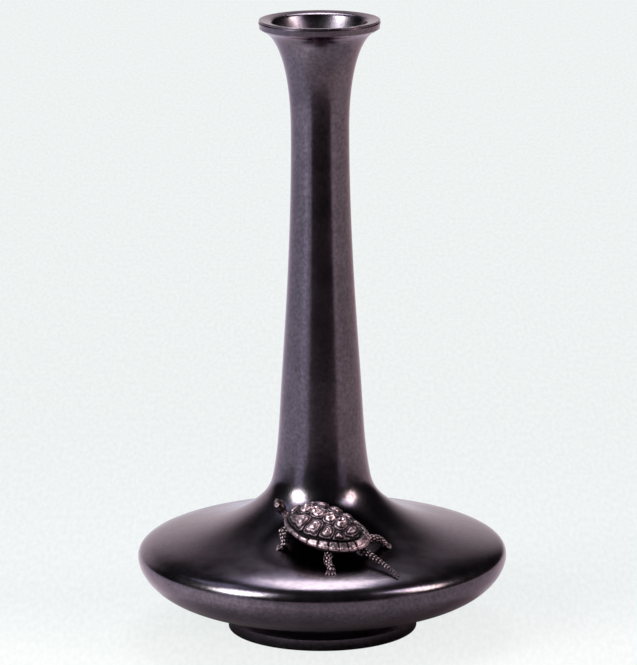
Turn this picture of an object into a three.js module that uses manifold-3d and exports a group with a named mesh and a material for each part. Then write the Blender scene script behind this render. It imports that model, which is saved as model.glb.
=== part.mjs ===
import * as THREE from 'three';
import { mergeVertices } from 'three/addons/utils/BufferGeometryUtils.js';
import Module from 'manifold-3d';

// A cast bronze flower vase: a flat round body, a tall thin neck, and a small turtle on the shoulder.
// Millimetres, +Z up. The origin is on the table, under the middle of the foot. The front faces -Y.

const wasm = await Module();
wasm.setup();

// The whole vase
const vaseHeight = 303;
const bodyRadius = 90.9;
const widestHeight = 36.5;
const wall = 2.8;
const fit = 0.3;

// Foot ring
const footRadius = 46.6;
const footHeight = 14.1;
const footBand = 5.3;
const footBandTaper = 0.3;
const footFlare = 3.2;
const footWaistHeight = 11.6;
const footHollowAngle = 120;
const footWaistAngle = 94;
const footHollowReachDown = 1.8;
const footHollowReachUp = 3;
const footTopFlare = 0.5;
const footTread = 4.4;
const footSeat = 4.4;
const footClamp = 2.4;

// Ledge that the bottom plate seats against
const ledgeWidth = 3.5;
const ledgeThickness = 1.4;

// Body: the underside is flat as far as flatRadius, and the shoulder turns up at its knee
const flatRadius = 50;
const bellyReach = 34;
const widestReachDown = 5.2;
const widestReachUp = 13.8;
const kneeRadius = 32;
const kneeRise = 27.5;
const kneeAngle = 139.3;
const kneeReachOut = 31.4;
const kneeReachUp = 6.1;
const seamLip = 1;
const seamLipHeight = 2;

// Neck
const neckFootRadius = 24;
const neckFootHeight = 77;
const neckFootAngle = 101.6;
const neckFootReachDown = 5.6;
const neckFootReachUp = 13.1;
const taperRadius = 19.8;
const taperHeight = 120.5;
const taperAngle = 93.4;
const taperReachDown = 16.7;
const taperReachUp = 26.3;
const waistRadius = 14.2;
const waistBelowMouth = 54.4;
const waistReachDown = 55.6;
const waistReachUp = 34.5;
const flareRadius = 27.7;
const flareBelowMouth = 5.1;
const flareAngle = 18;
const flareReach = 6;
const throatBelowMouth = 13;
const spigotWall = 1.1;
const spigotLength = 4;

// Mouth ring
const mouthRadius = 29.5;
const mouthRingHeight = 4;
const seatOverhang = 0.4;
const lipRadius = 22.9;
const lipDrop = 1.9;
const lipSpigotWall = 1;
const lipSpigotLength = 1;
const topBand = 0.9;
const grooveDepth = 0.8;
const grooveTop = 0.7;
const grooveHeight = 0.6;
const edgeRound = 0.25;

// Turtle: where it stands on the shoulder, and which way it faces
const turtleInset = 42.9;
const turtleBearing = 2.4;
const turtleHeading = 36;
const turtleLean = 17.5;
const leanBearing = 7.9;

// Turtle: its shell and body
const shellLength = 44.4;
const shellWidth = 29.6;
const shellRimHeight = 8;
const shellDome = 8.1;
const shellWall = 1.6;
const shellEdge = 0.8;
const shellFlange = 0.1;
const domeFullness = 2.4;
const domeCrown = 0.75;
const knobRadius = 1.8;
const knobSink = 0.6;
const knobSpots = [7.4, -1.2, -7.8];
const bodyUnderside = 2.4;
const bodyShare = 0.94;
const bellyShare = 0.55;
const bridgeShare = 0.8;
const bridgeLift = 1.4;
const bodyRim = 1;

// Turtle: head, legs and tail
const headLength = 8.4;
const headWidth = 5.4;
const headPitch = 48;
const headForward = 2.1;
const neckLift = 4.2;
const neckThickness = 4.4;
const napeThickness = 3.8;
const neckReach = 6;
const napeShare = 0.45;
const legThickness = 3.2;
const ankleThickness = 2.6;
const kneeShare = 0.55;
const footLength = 5.6;
const footWidth = 4.4;
const footThickness = 2.4;
const footLift = 0.6;
const kneeLift = 2.4;
const tailLength = 24.2;
const tailThickness = 3;
const tailTipThickness = 1;
const tailSwing = 3.6;
const tailClearance = 1.1;
const tenonRadius = 1.05;
const tenonLength = 4;
const pegRadius = 1;
const pegBlank = 10;
const washerRadius = 2.3;
const washerThickness = 0.8;
const peenRadius = 1.8;
const peenThickness = 0.8;

// How finely the round pieces are cut
const turns = 44;
const shellTurns = 28;
const limbTurns = 8;
const knobSides = [8, 6];
const padSides = [8, 6];
const skullSides = [12, 8];
const tailRuns = 3;
const groundPasses = 30;
const weldDistance = 1e-4;

const bronze = new THREE.MeshStandardMaterial({ color: 0x2c2428, roughness: 0.32, metalness: 1 });
const insideBronze = new THREE.MeshStandardMaterial({ color: 0x4a3a2c, roughness: 0.6, metalness: 1 });
const turtleBronze = new THREE.MeshStandardMaterial({ color: 0x5a4c46, roughness: 0.42, metalness: 1 });

const vase = new THREE.Group();

function part(name, geometry, material, parent = vase) {
  const mesh = new THREE.Mesh(geometry, material);
  mesh.name = name;
  parent.add(mesh);
}

// Outline of the vase, as radius and height. Angles run from straight out, through straight up.
const radians = THREE.MathUtils.degToRad;
const at = (radius, height) => new THREE.Vector2(radius, height);

function toward(angle, reach) {
  return at(reach * Math.cos(radians(angle)), reach * Math.sin(radians(angle)));
}

function sweep(from, leaving, leavingReach, to, arriving, arrivingReach) {
  const first = from.clone().add(toward(leaving, leavingReach));
  const second = to.clone().sub(toward(arriving, arrivingReach));
  return new THREE.CubicBezierCurve(from, first, second, to);
}

const flatEnd = at(flatRadius, footHeight);
const widest = at(bodyRadius, widestHeight);
const knee = at(kneeRadius, widestHeight + kneeRise);
const neckFoot = at(neckFootRadius, neckFootHeight);
const taper = at(taperRadius, taperHeight);
const waist = at(waistRadius, vaseHeight - waistBelowMouth);
const flare = at(flareRadius, vaseHeight - flareBelowMouth);

const belly = sweep(flatEnd, 0, bellyReach, widest, 90, widestReachDown);
const shoulder = sweep(widest, 90, widestReachUp, knee, kneeAngle, kneeReachOut);
const fillet = sweep(knee, kneeAngle, kneeReachUp, neckFoot, neckFootAngle, neckFootReachDown);
const neckFootSweep = sweep(neckFoot, neckFootAngle, neckFootReachUp, taper, taperAngle, taperReachDown);
const neckTaper = sweep(taper, taperAngle, taperReachUp, waist, 90, waistReachDown);
const mouthFlare = sweep(waist, 90, waistReachUp, flare, flareAngle, flareReach);

// Points along a chain of curves, moved inwards through the wall by the given depth
function follow(curves, steps, depth = 0) {
  const points = [];
  curves.forEach((curve, index) => {
    const first = points.length > 0 ? 1 : 0;
    for (let step = first; step <= steps[index]; step += 1) {
      const share = step / steps[index];
      const along = curve.getTangent(share);
      const inward = at(-along.y, along.x).multiplyScalar(depth);
      points.push(curve.getPoint(share).add(inward));
    }
  });
  return points;
}

const footSteps = [3];
const bellySteps = [8];
const bellyInsideSteps = [6];
const shoulderSteps = [9, 4];
const shoulderInsideSteps = [7, 4];
const shoulderLineSteps = [40, 20];
const neckSteps = [3, 5, 8];
const boreSteps = [2, 3, 6];
const domeSteps = 6;
const domeInsideSteps = 4;
const neckCurves = [neckFootSweep, neckTaper, mouthFlare];
const neckBore = neckFootRadius - wall;
const seatHeight = vaseHeight - mouthRingHeight;
const footWaistRadius = footRadius - footFlare;
const footTopRadius = footWaistRadius + footTopFlare;
const plateRadius = footTopRadius - footSeat;

// A round piece turned from a closed profile, which runs anticlockwise
function turned(profile) {
  return new THREE.LatheGeometry([...profile, profile[0]], turns).rotateX(Math.PI / 2);
}

// A round piece whose profile starts and ends on the axis
function turnedSolid(profile, sides = turns) {
  return new THREE.LatheGeometry(profile, sides).rotateX(Math.PI / 2);
}

// The radius of a run of points at a height that they pass through
function radiusAt(points, height) {
  for (let index = 1; index < points.length; index += 1) {
    const low = points[index - 1];
    const high = points[index];
    if ((low.y - height) * (high.y - height) <= 0 && low.y !== high.y) {
      return THREE.MathUtils.mapLinear(height, low.y, high.y, low.x, high.x);
    }
  }
  return points[points.length - 1].x;
}

function solidOf(geometry) {
  const bare = geometry.index ? geometry.toNonIndexed() : geometry.clone();
  bare.deleteAttribute('normal');
  bare.deleteAttribute('uv');
  const merged = mergeVertices(bare, weldDistance);
  const corners = merged.index.array;
  const kept = [];
  for (let index = 0; index < corners.length; index += 3) {
    const [a, b, c] = [corners[index], corners[index + 1], corners[index + 2]];
    if (a !== b && b !== c && c !== a) kept.push(a, b, c);
  }
  return new wasm.Manifold(new wasm.Mesh({
    numProp: 3,
    vertProperties: new Float32Array(merged.attributes.position.array),
    triVerts: new Uint32Array(kept),
  }));
}

function geometryOf(solid) {
  const mesh = solid.getMesh();
  const geometry = new THREE.BufferGeometry();
  geometry.setAttribute('position', new THREE.BufferAttribute(mesh.vertProperties, 3));
  geometry.setIndex(new THREE.BufferAttribute(mesh.triVerts, 1));
  geometry.computeVertexNormals();
  return geometry;
}

const join = (solids) => solids.reduce((whole, solid) => whole.add(solid));

// Foot ring: an upright band and a hollow above it, whose top clamps the bottom plate's edge
function footRing() {
  const edge = at(footRadius - footBandTaper, footBand);
  const middle = at(footWaistRadius, footWaistHeight);
  const hollow = sweep(edge, footHollowAngle, footHollowReachDown, middle, footWaistAngle, footHollowReachUp);
  const innerTop = plateRadius - footClamp;
  return turned([
    at(footRadius - footTread, 0),
    at(footRadius, 0),
    ...follow([hollow], footSteps),
    at(footTopRadius, footHeight),
    at(innerTop, footHeight),
    at(innerTop, footHeight - wall),
    at(footRadius - footTread, footHeight - 2 * wall),
  ]);
}

// Bottom plate: a stepped disc that seats against the ledge from below
function basePlate() {
  const step = plateRadius - ledgeWidth - fit;
  return turnedSolid([
    at(0, footHeight),
    at(plateRadius, footHeight),
    at(plateRadius, footHeight + wall - ledgeThickness),
    at(step, footHeight + wall - ledgeThickness),
    at(step, footHeight + wall),
    at(0, footHeight + wall),
  ]);
}

// Lower body: its floor has the ledge for the plate, and its rim has a lip inside the seam
function bellyShell() {
  const opening = plateRadius - ledgeWidth;
  const inside = follow([belly], bellyInsideSteps, wall).filter((point) => point.y < widestHeight).reverse();
  const lipRadiusInside = bodyRadius - wall;
  return turned([
    at(plateRadius + fit, footHeight),
    ...follow([belly], bellySteps),
    at(lipRadiusInside + seamLip, widestHeight),
    at(lipRadiusInside + seamLip, widestHeight + seamLipHeight),
    at(lipRadiusInside, widestHeight + seamLipHeight),
    at(lipRadiusInside, widestHeight),
    ...inside,
    at(opening, footHeight + wall),
    at(opening, footHeight + wall - ledgeThickness),
    at(plateRadius + fit, footHeight + wall - ledgeThickness),
  ]);
}

// Upper body: seats on the lower body's rim, and ends in the collar that takes the neck's spigot
function shoulderShell() {
  const seamSocket = bodyRadius - wall + seamLip + fit;
  const seamTop = widestHeight + seamLipHeight + fit;
  const collarSocket = neckBore + spigotWall + fit;
  const collarBottom = neckFootHeight - spigotLength - fit;
  const inner = follow([shoulder, fillet], shoulderInsideSteps, wall);
  const inside = inner.filter((point) => point.y > seamTop && point.y < collarBottom).reverse();
  return turned([
    at(seamSocket, widestHeight),
    ...follow([shoulder, fillet], shoulderSteps),
    at(collarSocket, neckFootHeight),
    at(collarSocket, collarBottom),
    at(radiusAt(inner, collarBottom), collarBottom),
    ...inside,
    at(radiusAt(inner, seamTop), seamTop),
    at(seamSocket, seamTop),
  ]);
}

// The funnel that runs straight down from the lip to the throat, through the mouth ring and the neck
const bore = follow(neckCurves, boreSteps, wall);
const lipHeight = vaseHeight - lipDrop;
const throatHeight = vaseHeight - throatBelowMouth;
const throatRadius = radiusAt(bore, throatHeight);

function onFunnel(height) {
  return at(THREE.MathUtils.mapLinear(height, throatHeight, lipHeight, throatRadius, lipRadius), height);
}

// Neck: a tapered tube with a spigot at its foot, and a socket for the mouth ring at its flare
function neckTube() {
  const socket = lipRadius + lipSpigotWall + fit;
  const socketBottom = seatHeight - lipSpigotLength - fit;
  const inside = bore.filter((point) => point.y > neckFootHeight && point.y < throatHeight).reverse();
  const spigotBottom = neckFootHeight - spigotLength;
  return turned([
    at(neckBore + spigotWall, neckFootHeight),
    ...follow(neckCurves, neckSteps),
    at(mouthRadius - seatOverhang, seatHeight),
    at(socket, seatHeight),
    at(socket, socketBottom),
    onFunnel(socketBottom),
    onFunnel(throatHeight),
    ...inside,
    at(neckBore, neckFootHeight),
    at(neckBore, spigotBottom),
    at(neckBore + spigotWall, spigotBottom),
  ]);
}

// Mouth ring: its lip slopes into the mouth, and a groove is turned in its edge
function mouthRing() {
  const grooveHigh = vaseHeight - grooveTop;
  const grooveLow = grooveHigh - grooveHeight;
  const upperRadius = mouthRadius - edgeRound;
  return turned([
    onFunnel(seatHeight - lipSpigotLength),
    at(lipRadius + lipSpigotWall, seatHeight - lipSpigotLength),
    at(lipRadius + lipSpigotWall, seatHeight),
    at(mouthRadius - edgeRound, seatHeight),
    at(mouthRadius, seatHeight + edgeRound),
    at(mouthRadius, grooveLow - edgeRound),
    at(mouthRadius - edgeRound, grooveLow),
    at(mouthRadius - grooveDepth, grooveLow),
    at(mouthRadius - grooveDepth, grooveHigh),
    at(upperRadius, grooveHigh),
    at(upperRadius, vaseHeight - edgeRound / 2),
    at(upperRadius - edgeRound / 2, vaseHeight),
    at(mouthRadius - edgeRound - topBand, vaseHeight),
    at(lipRadius, lipHeight),
  ]);
}

// Turtle group: it stands on the shoulder, its own x forwards, y to its left and z up through its back
const shoulderLine = follow([shoulder, fillet], shoulderLineSteps);
const turtleReach = bodyRadius - turtleInset;

function shoulderHeight(radius) {
  for (let index = 1; index < shoulderLine.length; index += 1) {
    const outer = shoulderLine[index - 1];
    const inner = shoulderLine[index];
    if (radius <= outer.x && radius > inner.x) {
      return THREE.MathUtils.mapLinear(radius, outer.x, inner.x, outer.y, inner.y);
    }
  }
  return radius > bodyRadius ? widestHeight : vaseHeight;
}

function fromFront(bearing, reach, height) {
  const angle = radians(bearing);
  return new THREE.Vector3(reach * Math.sin(angle), -reach * Math.cos(angle), height);
}

const back = fromFront(leanBearing, Math.sin(radians(turtleLean)), Math.cos(radians(turtleLean)));
const facing = new THREE.Vector3(-Math.cos(radians(turtleHeading)), Math.sin(radians(turtleHeading)), 0);
facing.addScaledVector(back, -facing.dot(back)).normalize();
const leftward = new THREE.Vector3().crossVectors(back, facing);

const turtle = new THREE.Group();
turtle.position.copy(fromFront(turtleBearing, turtleReach, shoulderHeight(turtleReach)));
turtle.setRotationFromMatrix(new THREE.Matrix4().makeBasis(facing, leftward, back));
turtle.updateMatrixWorld();
vase.add(turtle);

// The height of the shoulder above the turtle's own ground, under a point of its plan
function ground(x, y) {
  let low = -shellLength;
  let high = shellLength;
  for (let pass = 0; pass < groundPasses; pass += 1) {
    const middle = (low + high) / 2;
    const point = turtle.localToWorld(new THREE.Vector3(x, y, middle));
    if (point.z > shoulderHeight(Math.hypot(point.x, point.y))) high = middle;
    else low = middle;
  }
  return high;
}

// The upper body filled solid, its surface moved inwards by a depth, in the turtle's own frame
function filledShoulder(depth) {
  const line = follow([shoulder, fillet, neckFootSweep], [...shoulderSteps, neckSteps[0]], depth);
  const first = line[0];
  const last = line[line.length - 1];
  const geometry = turnedSolid([at(0, first.y), ...line, at(0, last.y)]);
  return solidOf(geometry.applyMatrix4(turtle.matrixWorld.clone().invert()));
}

const halfLength = shellLength / 2;
const halfWidth = shellWidth / 2;
const rimUnderside = shellRimHeight - shellEdge;

// Turtle shell: an oval dome, hollow below, with knobs along its keel
function domeRise(share) {
  return (1 - share ** domeFullness) ** domeCrown;
}

function domeProfile(spread, base, rise, steps) {
  const points = [];
  for (let step = 0; step <= steps; step += 1) {
    const share = step === steps ? 0 : Math.cos((step / steps) * (Math.PI / 2));
    points.push(at(share * spread, base + rise * domeRise(share)));
  }
  return points;
}

function oval(profile, grow = 0) {
  return turnedSolid(profile, shellTurns).scale(halfLength + grow, halfWidth + grow, 1);
}

function carapace() {
  const outer = domeProfile(1, shellRimHeight, shellDome, domeSteps);
  const hollow = shellDome + shellEdge - shellWall;
  const inner = domeProfile(1 - shellFlange, rimUnderside, hollow, domeInsideSteps);
  const shell = solidOf(oval([...inner.reverse(), at(1, rimUnderside), ...outer]));
  const knobs = knobSpots.map((spot) => {
    const crest = shellRimHeight + shellDome * domeRise(Math.abs(spot) / halfLength);
    const knob = new THREE.SphereGeometry(knobRadius, ...knobSides);
    return solidOf(knob.translate(spot, 0, crest - knobSink));
  });
  return join([shell, ...knobs]);
}

function filledCarapace() {
  const outer = domeProfile(1, shellRimHeight, shellDome + fit, domeSteps);
  return solidOf(oval([at(0, rimUnderside - fit), at(1, rimUnderside - fit), ...outer], fit));
}

// Turtle body: its flat underside, rising to a rim that carries the shell
function turtleBodyBlank(grow) {
  const top = rimUnderside - fit + grow;
  const underside = bodyUnderside - grow;
  return solidOf(oval([
    at(0, underside),
    at(bellyShare, underside),
    at(bridgeShare, underside + bridgeLift),
    at(bodyShare, rimUnderside - fit - bodyRim - grow),
    at(bodyShare, top),
    at(0, top),
  ], grow));
}

// A tapered limb between two points, round at both ends
function limb(from, to, startRadius, endRadius) {
  const length = from.distanceTo(to);
  const profile = [at(0, -startRadius)];
  const corner = Math.SQRT1_2;
  profile.push(at(startRadius * corner, -startRadius * corner), at(startRadius, 0));
  profile.push(at(endRadius, length), at(endRadius * corner, length + endRadius * corner));
  profile.push(at(0, length + endRadius));
  const direction = to.clone().sub(from).normalize();
  const turn = new THREE.Quaternion().setFromUnitVectors(new THREE.Vector3(0, 0, 1), direction);
  const geometry = turnedSolid(profile, limbTurns);
  return solidOf(geometry.applyQuaternion(turn).translate(from.x, from.y, from.z));
}

function rod(from, to, radius) {
  const length = from.distanceTo(to);
  const profile = [at(0, 0), at(radius, 0), at(radius, length), at(0, length)];
  const direction = to.clone().sub(from).normalize();
  const turn = new THREE.Quaternion().setFromUnitVectors(new THREE.Vector3(0, 0, 1), direction);
  const geometry = turnedSolid(profile, limbTurns);
  return solidOf(geometry.applyQuaternion(turn).translate(from.x, from.y, from.z));
}

const spot = (x, y, z) => new THREE.Vector3(x, y, z);
const tenonHeight = (bodyUnderside + rimUnderside - fit) / 2;

// A place on the edge of the turtle's body, at an angle from straight ahead
function bodyEdge(angle) {
  const turn = radians(angle);
  const x = halfLength * bodyShare * Math.cos(turn);
  const y = halfWidth * bodyShare * Math.sin(turn);
  return spot(x, y, tenonHeight);
}

function tenon(edge, radius) {
  const inward = spot(-edge.x, -edge.y, 0).normalize();
  const end = edge.clone().addScaledVector(inward, tenonLength);
  const start = edge.clone().addScaledVector(inward, -radius);
  return rod(start, end, radius);
}

function socket(edge, radius) {
  const inward = spot(-edge.x, -edge.y, 0).normalize();
  const end = edge.clone().addScaledVector(inward, tenonLength + fit);
  const start = edge.clone().addScaledVector(inward, -2 * radius);
  return rod(start, end, radius + fit);
}

const trimLimb = (solid) => solid.subtract(turtleBodyBlank(fit)).subtract(filledCarapace());

// Head: raised on its neck, which plugs into the body
const neckEdge = bodyEdge(0);

function headAndNeck() {
  const pitch = radians(headPitch);
  const nape = spot(neckEdge.x + neckReach * napeShare, 0, tenonHeight + neckLift * napeShare);
  const crown = spot(neckEdge.x + neckReach, 0, tenonHeight + neckLift);
  const skull = new THREE.SphereGeometry(1, ...skullSides);
  skull.scale(headLength / 2, headWidth / 2, headWidth / 2);
  skull.rotateY(-pitch);
  const forward = spot(Math.cos(pitch), 0, Math.sin(pitch)).multiplyScalar(headForward);
  skull.translate(crown.x + forward.x, 0, crown.z + forward.z);
  const lower = limb(neckEdge, nape, neckThickness / 2, neckThickness / 2);
  const upper = limb(nape, crown, neckThickness / 2, napeThickness / 2);
  const head = trimLimb(join([lower, upper, solidOf(skull)]));
  return head.add(tenon(neckEdge, tenonRadius));
}

// Tail: a long taper that follows the shoulder down to its tip
const tailEdge = bodyEdge(180);

function tail() {
  const stations = [];
  for (let step = 0; step <= tailRuns; step += 1) {
    const share = step / tailRuns;
    const x = tailEdge.x - tailLength * share;
    const y = tailSwing * share * share;
    const radius = THREE.MathUtils.lerp(tailThickness, tailTipThickness, share) / 2;
    const resting = ground(x, y) + tailClearance + radius;
    const z = THREE.MathUtils.lerp(tailEdge.z, resting, share);
    stations.push({ place: spot(x, y, z), radius });
  }
  const runs = stations.slice(1).map((end, index) => {
    const start = stations[index];
    return limb(start.place, end.place, start.radius, end.radius);
  });
  const whole = trimLimb(join(runs)).subtract(filledShoulder(-fit));
  return whole.add(tenon(tailEdge, tenonRadius));
}

// Legs: each stands on the shoulder, with a peg through it that is peened over a washer inside
const legs = [
  { name: 'front_left', hip: 40, stride: [1.5, 4.4], toes: 25 },
  { name: 'front_right', hip: -42, stride: [1.5, -4.7], toes: -30 },
  { name: 'rear_left', hip: 118, stride: [-6.7, 7.8], toes: 95 },
  { name: 'rear_right', hip: -142, stride: [-6.6, -9.9], toes: -140 },
];

function footSpot(leg) {
  const hip = bodyEdge(leg.hip);
  const x = hip.x + leg.stride[0];
  const y = hip.y + leg.stride[1];
  return spot(x, y, ground(x, y));
}

function downFrom(place, radius) {
  return rod(place, place.clone().add(spot(0, 0, -pegBlank)), radius);
}

// The layer of a solid that lies between two depths below the inside of the shoulder
function insideLayer(solid, from, to) {
  const inner = filledShoulder(wall + fit);
  return solid.intersect(inner.translate([0, 0, -from])).subtract(inner.translate([0, 0, -to]));
}

function legSolid(leg) {
  const edge = bodyEdge(leg.hip);
  const foot = footSpot(leg);
  const middle = edge.clone().lerp(foot, kneeShare).add(spot(0, 0, kneeLift));
  const ankle = foot.clone().add(spot(0, 0, footThickness / 2));
  const thigh = limb(edge, middle, legThickness / 2, legThickness / 2);
  const shin = limb(middle, ankle, legThickness / 2, ankleThickness / 2);
  const pad = new THREE.SphereGeometry(1, ...padSides).rotateX(Math.PI / 2);
  pad.scale(footLength / 2, footWidth / 2, footThickness / 2).rotateZ(radians(leg.toes));
  const sole = solidOf(pad.translate(foot.x, foot.y, foot.z + footLift));
  const flesh = trimLimb(join([thigh, shin, sole])).add(tenon(edge, tenonRadius));
  const outside = flesh.subtract(filledShoulder(-fit));
  const peenDepth = washerThickness + fit;
  const below = filledShoulder(wall + fit).translate([0, 0, -peenDepth - peenThickness / 2]);
  const peg = downFrom(ankle, pegRadius).subtract(below);
  const peen = insideLayer(downFrom(ankle, peenRadius), peenDepth, peenDepth + peenThickness);
  return join([outside, peg, peen]);
}

function legWasher(leg) {
  const foot = footSpot(leg);
  const ring = downFrom(foot, washerRadius).subtract(downFrom(foot, pegRadius + fit));
  return insideLayer(ring, 0, washerThickness);
}

function turtleBody() {
  const edges = [neckEdge, tailEdge, ...legs.map((leg) => bodyEdge(leg.hip))];
  return edges.reduce((body, edge) => body.subtract(socket(edge, tenonRadius)), turtleBodyBlank(0));
}

// The shoulder is drilled for the pegs
function drilledShoulder() {
  const toVase = turtle.matrixWorld;
  const holes = legs.map((leg) => {
    const start = footSpot(leg).add(spot(0, 0, legThickness));
    return solidOf(geometryOf(downFrom(start, pegRadius + fit)).applyMatrix4(toVase));
  });
  return geometryOf(solidOf(shoulderShell()).subtract(join(holes)));
}

part('foot_ring', footRing(), bronze);
part('base_plate', basePlate(), insideBronze);
part('belly_shell', bellyShell(), bronze);
part('shoulder_shell', drilledShoulder(), bronze);
part('neck', neckTube(), bronze);
part('mouth_rim', mouthRing(), bronze);
part('turtle_carapace', geometryOf(carapace()), turtleBronze, turtle);
part('turtle_body', geometryOf(turtleBody()), turtleBronze, turtle);
part('turtle_head', geometryOf(headAndNeck()), turtleBronze, turtle);
part('turtle_tail', geometryOf(tail()), turtleBronze, turtle);
legs.forEach((leg) => {
  part(`turtle_leg_${leg.name}`, geometryOf(legSolid(leg)), turtleBronze, turtle);
  part(`leg_washer_${leg.name}`, geometryOf(legWasher(leg)), insideBronze, turtle);
});

export default vase;
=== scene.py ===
import math

import bmesh
import bpy
import numpy as np
from mathutils import Matrix, Vector


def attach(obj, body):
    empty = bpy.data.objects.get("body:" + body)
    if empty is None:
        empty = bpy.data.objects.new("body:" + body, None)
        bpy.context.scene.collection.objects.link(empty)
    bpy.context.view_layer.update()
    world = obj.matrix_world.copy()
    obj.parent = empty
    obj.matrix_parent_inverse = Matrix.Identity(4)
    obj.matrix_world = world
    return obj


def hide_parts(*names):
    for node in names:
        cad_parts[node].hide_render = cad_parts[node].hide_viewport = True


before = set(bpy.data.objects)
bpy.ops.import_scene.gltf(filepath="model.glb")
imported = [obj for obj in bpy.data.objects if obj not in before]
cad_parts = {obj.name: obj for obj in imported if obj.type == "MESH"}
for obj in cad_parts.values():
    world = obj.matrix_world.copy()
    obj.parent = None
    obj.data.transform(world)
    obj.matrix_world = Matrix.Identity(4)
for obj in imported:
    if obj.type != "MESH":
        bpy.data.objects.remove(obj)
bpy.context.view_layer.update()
scene = bpy.context.scene
scene.view_settings.view_transform = "Standard"


# Camera, at the photograph's viewing angle. It is worked out from the ovals of the foot, of the
# widest line and of the mouth: a long lens, two metres back, looking down a little on the shoulder.
def put_in_scene(name, data):
    """A new object that holds this data, linked into the scene."""
    made = bpy.data.objects.new(name, data)
    scene.collection.objects.link(made)
    return made


camera_place = (-0.00125, -2.167, 0.6423)
camera_looks_down = math.radians(12.84)
camera_leans = math.radians(0.30)
camera_data = bpy.data.cameras.new("camera")
camera_data.sensor_width = 36
camera_data.lens = 246.1
camera_data.clip_end = 20
camera = put_in_scene("camera", camera_data)
aim = Matrix.Rotation(math.pi / 2 - camera_looks_down, 4, "X")
camera.matrix_world = Matrix.Translation(camera_place) @ aim @ Matrix.Rotation(-camera_leans, 4, "Z")
scene.camera = camera


# Studio: pale card on the table and standing behind the vase. In front, where the photographer stands, the
# card ends in a dark room, and in a black cloth that is a sheet of painted shade; the polished bronze shows
# both as black.
def linear(hex_colour):
    """An sRGB hex colour as the linear values that Blender mixes."""
    made = []
    for start in (1, 3, 5):
        value = int(hex_colour[start : start + 2], 16) / 255
        made.append(value / 12.92 if value <= 0.04045 else ((value + 0.055) / 1.055) ** 2.4)
    return (*made, 1.0)


def add_node(tree, kind, settings=None, links=None):
    """Adds one node. A setting is a property of the node, or the value of an input; links feed inputs."""
    added = tree.nodes.new(kind)
    for key, value in (settings or {}).items():
        if isinstance(key, str) and hasattr(added, key):
            setattr(added, key, value)
        else:
            added.inputs[key].default_value = value
    for key, source in (links or {}).items():
        output = source.outputs[0] if isinstance(source, bpy.types.Node) else source
        tree.links.new(output, added.inputs[key])
    return added


def empty_tree(owner):
    """The node tree of a material or of the room, with nothing in it yet."""
    owner.use_nodes = True
    owner.node_tree.nodes.clear()
    return owner.node_tree


def staged_sheet(name, corners, height, material):
    """A flat sheet of the studio, with its corners given anticlockwise from above."""
    mesh = bpy.data.meshes.new(name)
    mesh.from_pydata([(x, y, height) for x, y in corners], [], [tuple(range(len(corners)))])
    mesh.materials.append(material)
    sheet = put_in_scene(name, mesh)
    return sheet


# Matt pale paper, faintly streaked by its fibres, which are drawn as coarse as they need to be to show, and
# painted lighter towards the front and darker behind the vase, a painted shade. To the camera it glows evenly
# apart from that painted shade, and keeps a faint shadow of the vase. In the metal it is lit by the lamps
# near the vase, with painted shade on top, and glows with a painted light further off.
mm = 0.001
card_colour = linear("#F9FCFA")
card_shade = linear("#EBEFEF")
fibre_width = 2.2 * mm
fibre_squeeze = 0.22
fibre_share = 0.45
lighter_behind = 0.06
lighter_in_front = -0.07

card_paper = bpy.data.materials.new("matt_pale_paper")
tree = empty_tree(card_paper)
here = add_node(tree, "ShaderNodeTexCoord").outputs["Object"]
axes = add_node(tree, "ShaderNodeSeparateXYZ", None, {0: here})
squeeze = add_node(tree, "ShaderNodeMapping", {"Scale": (1, fibre_squeeze, 1)}, {"Vector": here})
fibres = add_node(tree, "ShaderNodeTexNoise", {"Scale": 1 / fibre_width, "Detail": 3}, {"Vector": squeeze})
spread = add_node(tree, "ShaderNodeMapRange", {"From Min": 0.35, "From Max": 0.65}, {"Value": fibres})
# Painted shade: the paper's colour is lighter in front of the vase and darker behind it.
painted_light_in_front = add_node(
    tree,
    "ShaderNodeMapRange",
    {
        "interpolation_type": "SMOOTHSTEP",
        "From Min": lighter_behind,
        "From Max": lighter_in_front,
        "To Max": 1 - fibre_share,
    },
    {"Value": axes.outputs[1]},
)
fibres_and_painted_shade = add_node(
    tree, "ShaderNodeMath", {"operation": "MULTIPLY_ADD", 1: fibre_share}, {0: spread, 2: painted_light_in_front}
)
paper = add_node(
    tree, "ShaderNodeMix", {"data_type": "RGBA", 6: card_shade, 7: card_colour}, {"Factor": fibres_and_painted_shade}
)
rays = add_node(tree, "ShaderNodeLightPath")
mirrored = add_node(
    tree,
    "ShaderNodeMath",
    {"operation": "MAXIMUM"},
    {0: rays.outputs["Is Glossy Ray"], 1: rays.outputs["Is Transmission Ray"]},
)

# Near the vase the lamps light the paper, and its colour carries a painted shade on top: darkest under the
# belly, which the camera sees faintly too, and in the metal a painted falloff to the right and to the front.
# The lit paper is also tinted a little purple, a painted bounce from the bronze.
under_belly = (-3 * mm, -24 * mm, 0)
shade_inside = 50 * mm
shade_outside = 108 * mm
light_under_belly = 0.25
light_beside_vase = 0.82
light_falls_off_to = (0.6, -0.8, 0)
loss_starts = 30 * mm
loss_full = 120 * mm
light_lost_right = 0.5
painted_bounce_tint = (1, 0.9, 1)

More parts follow.
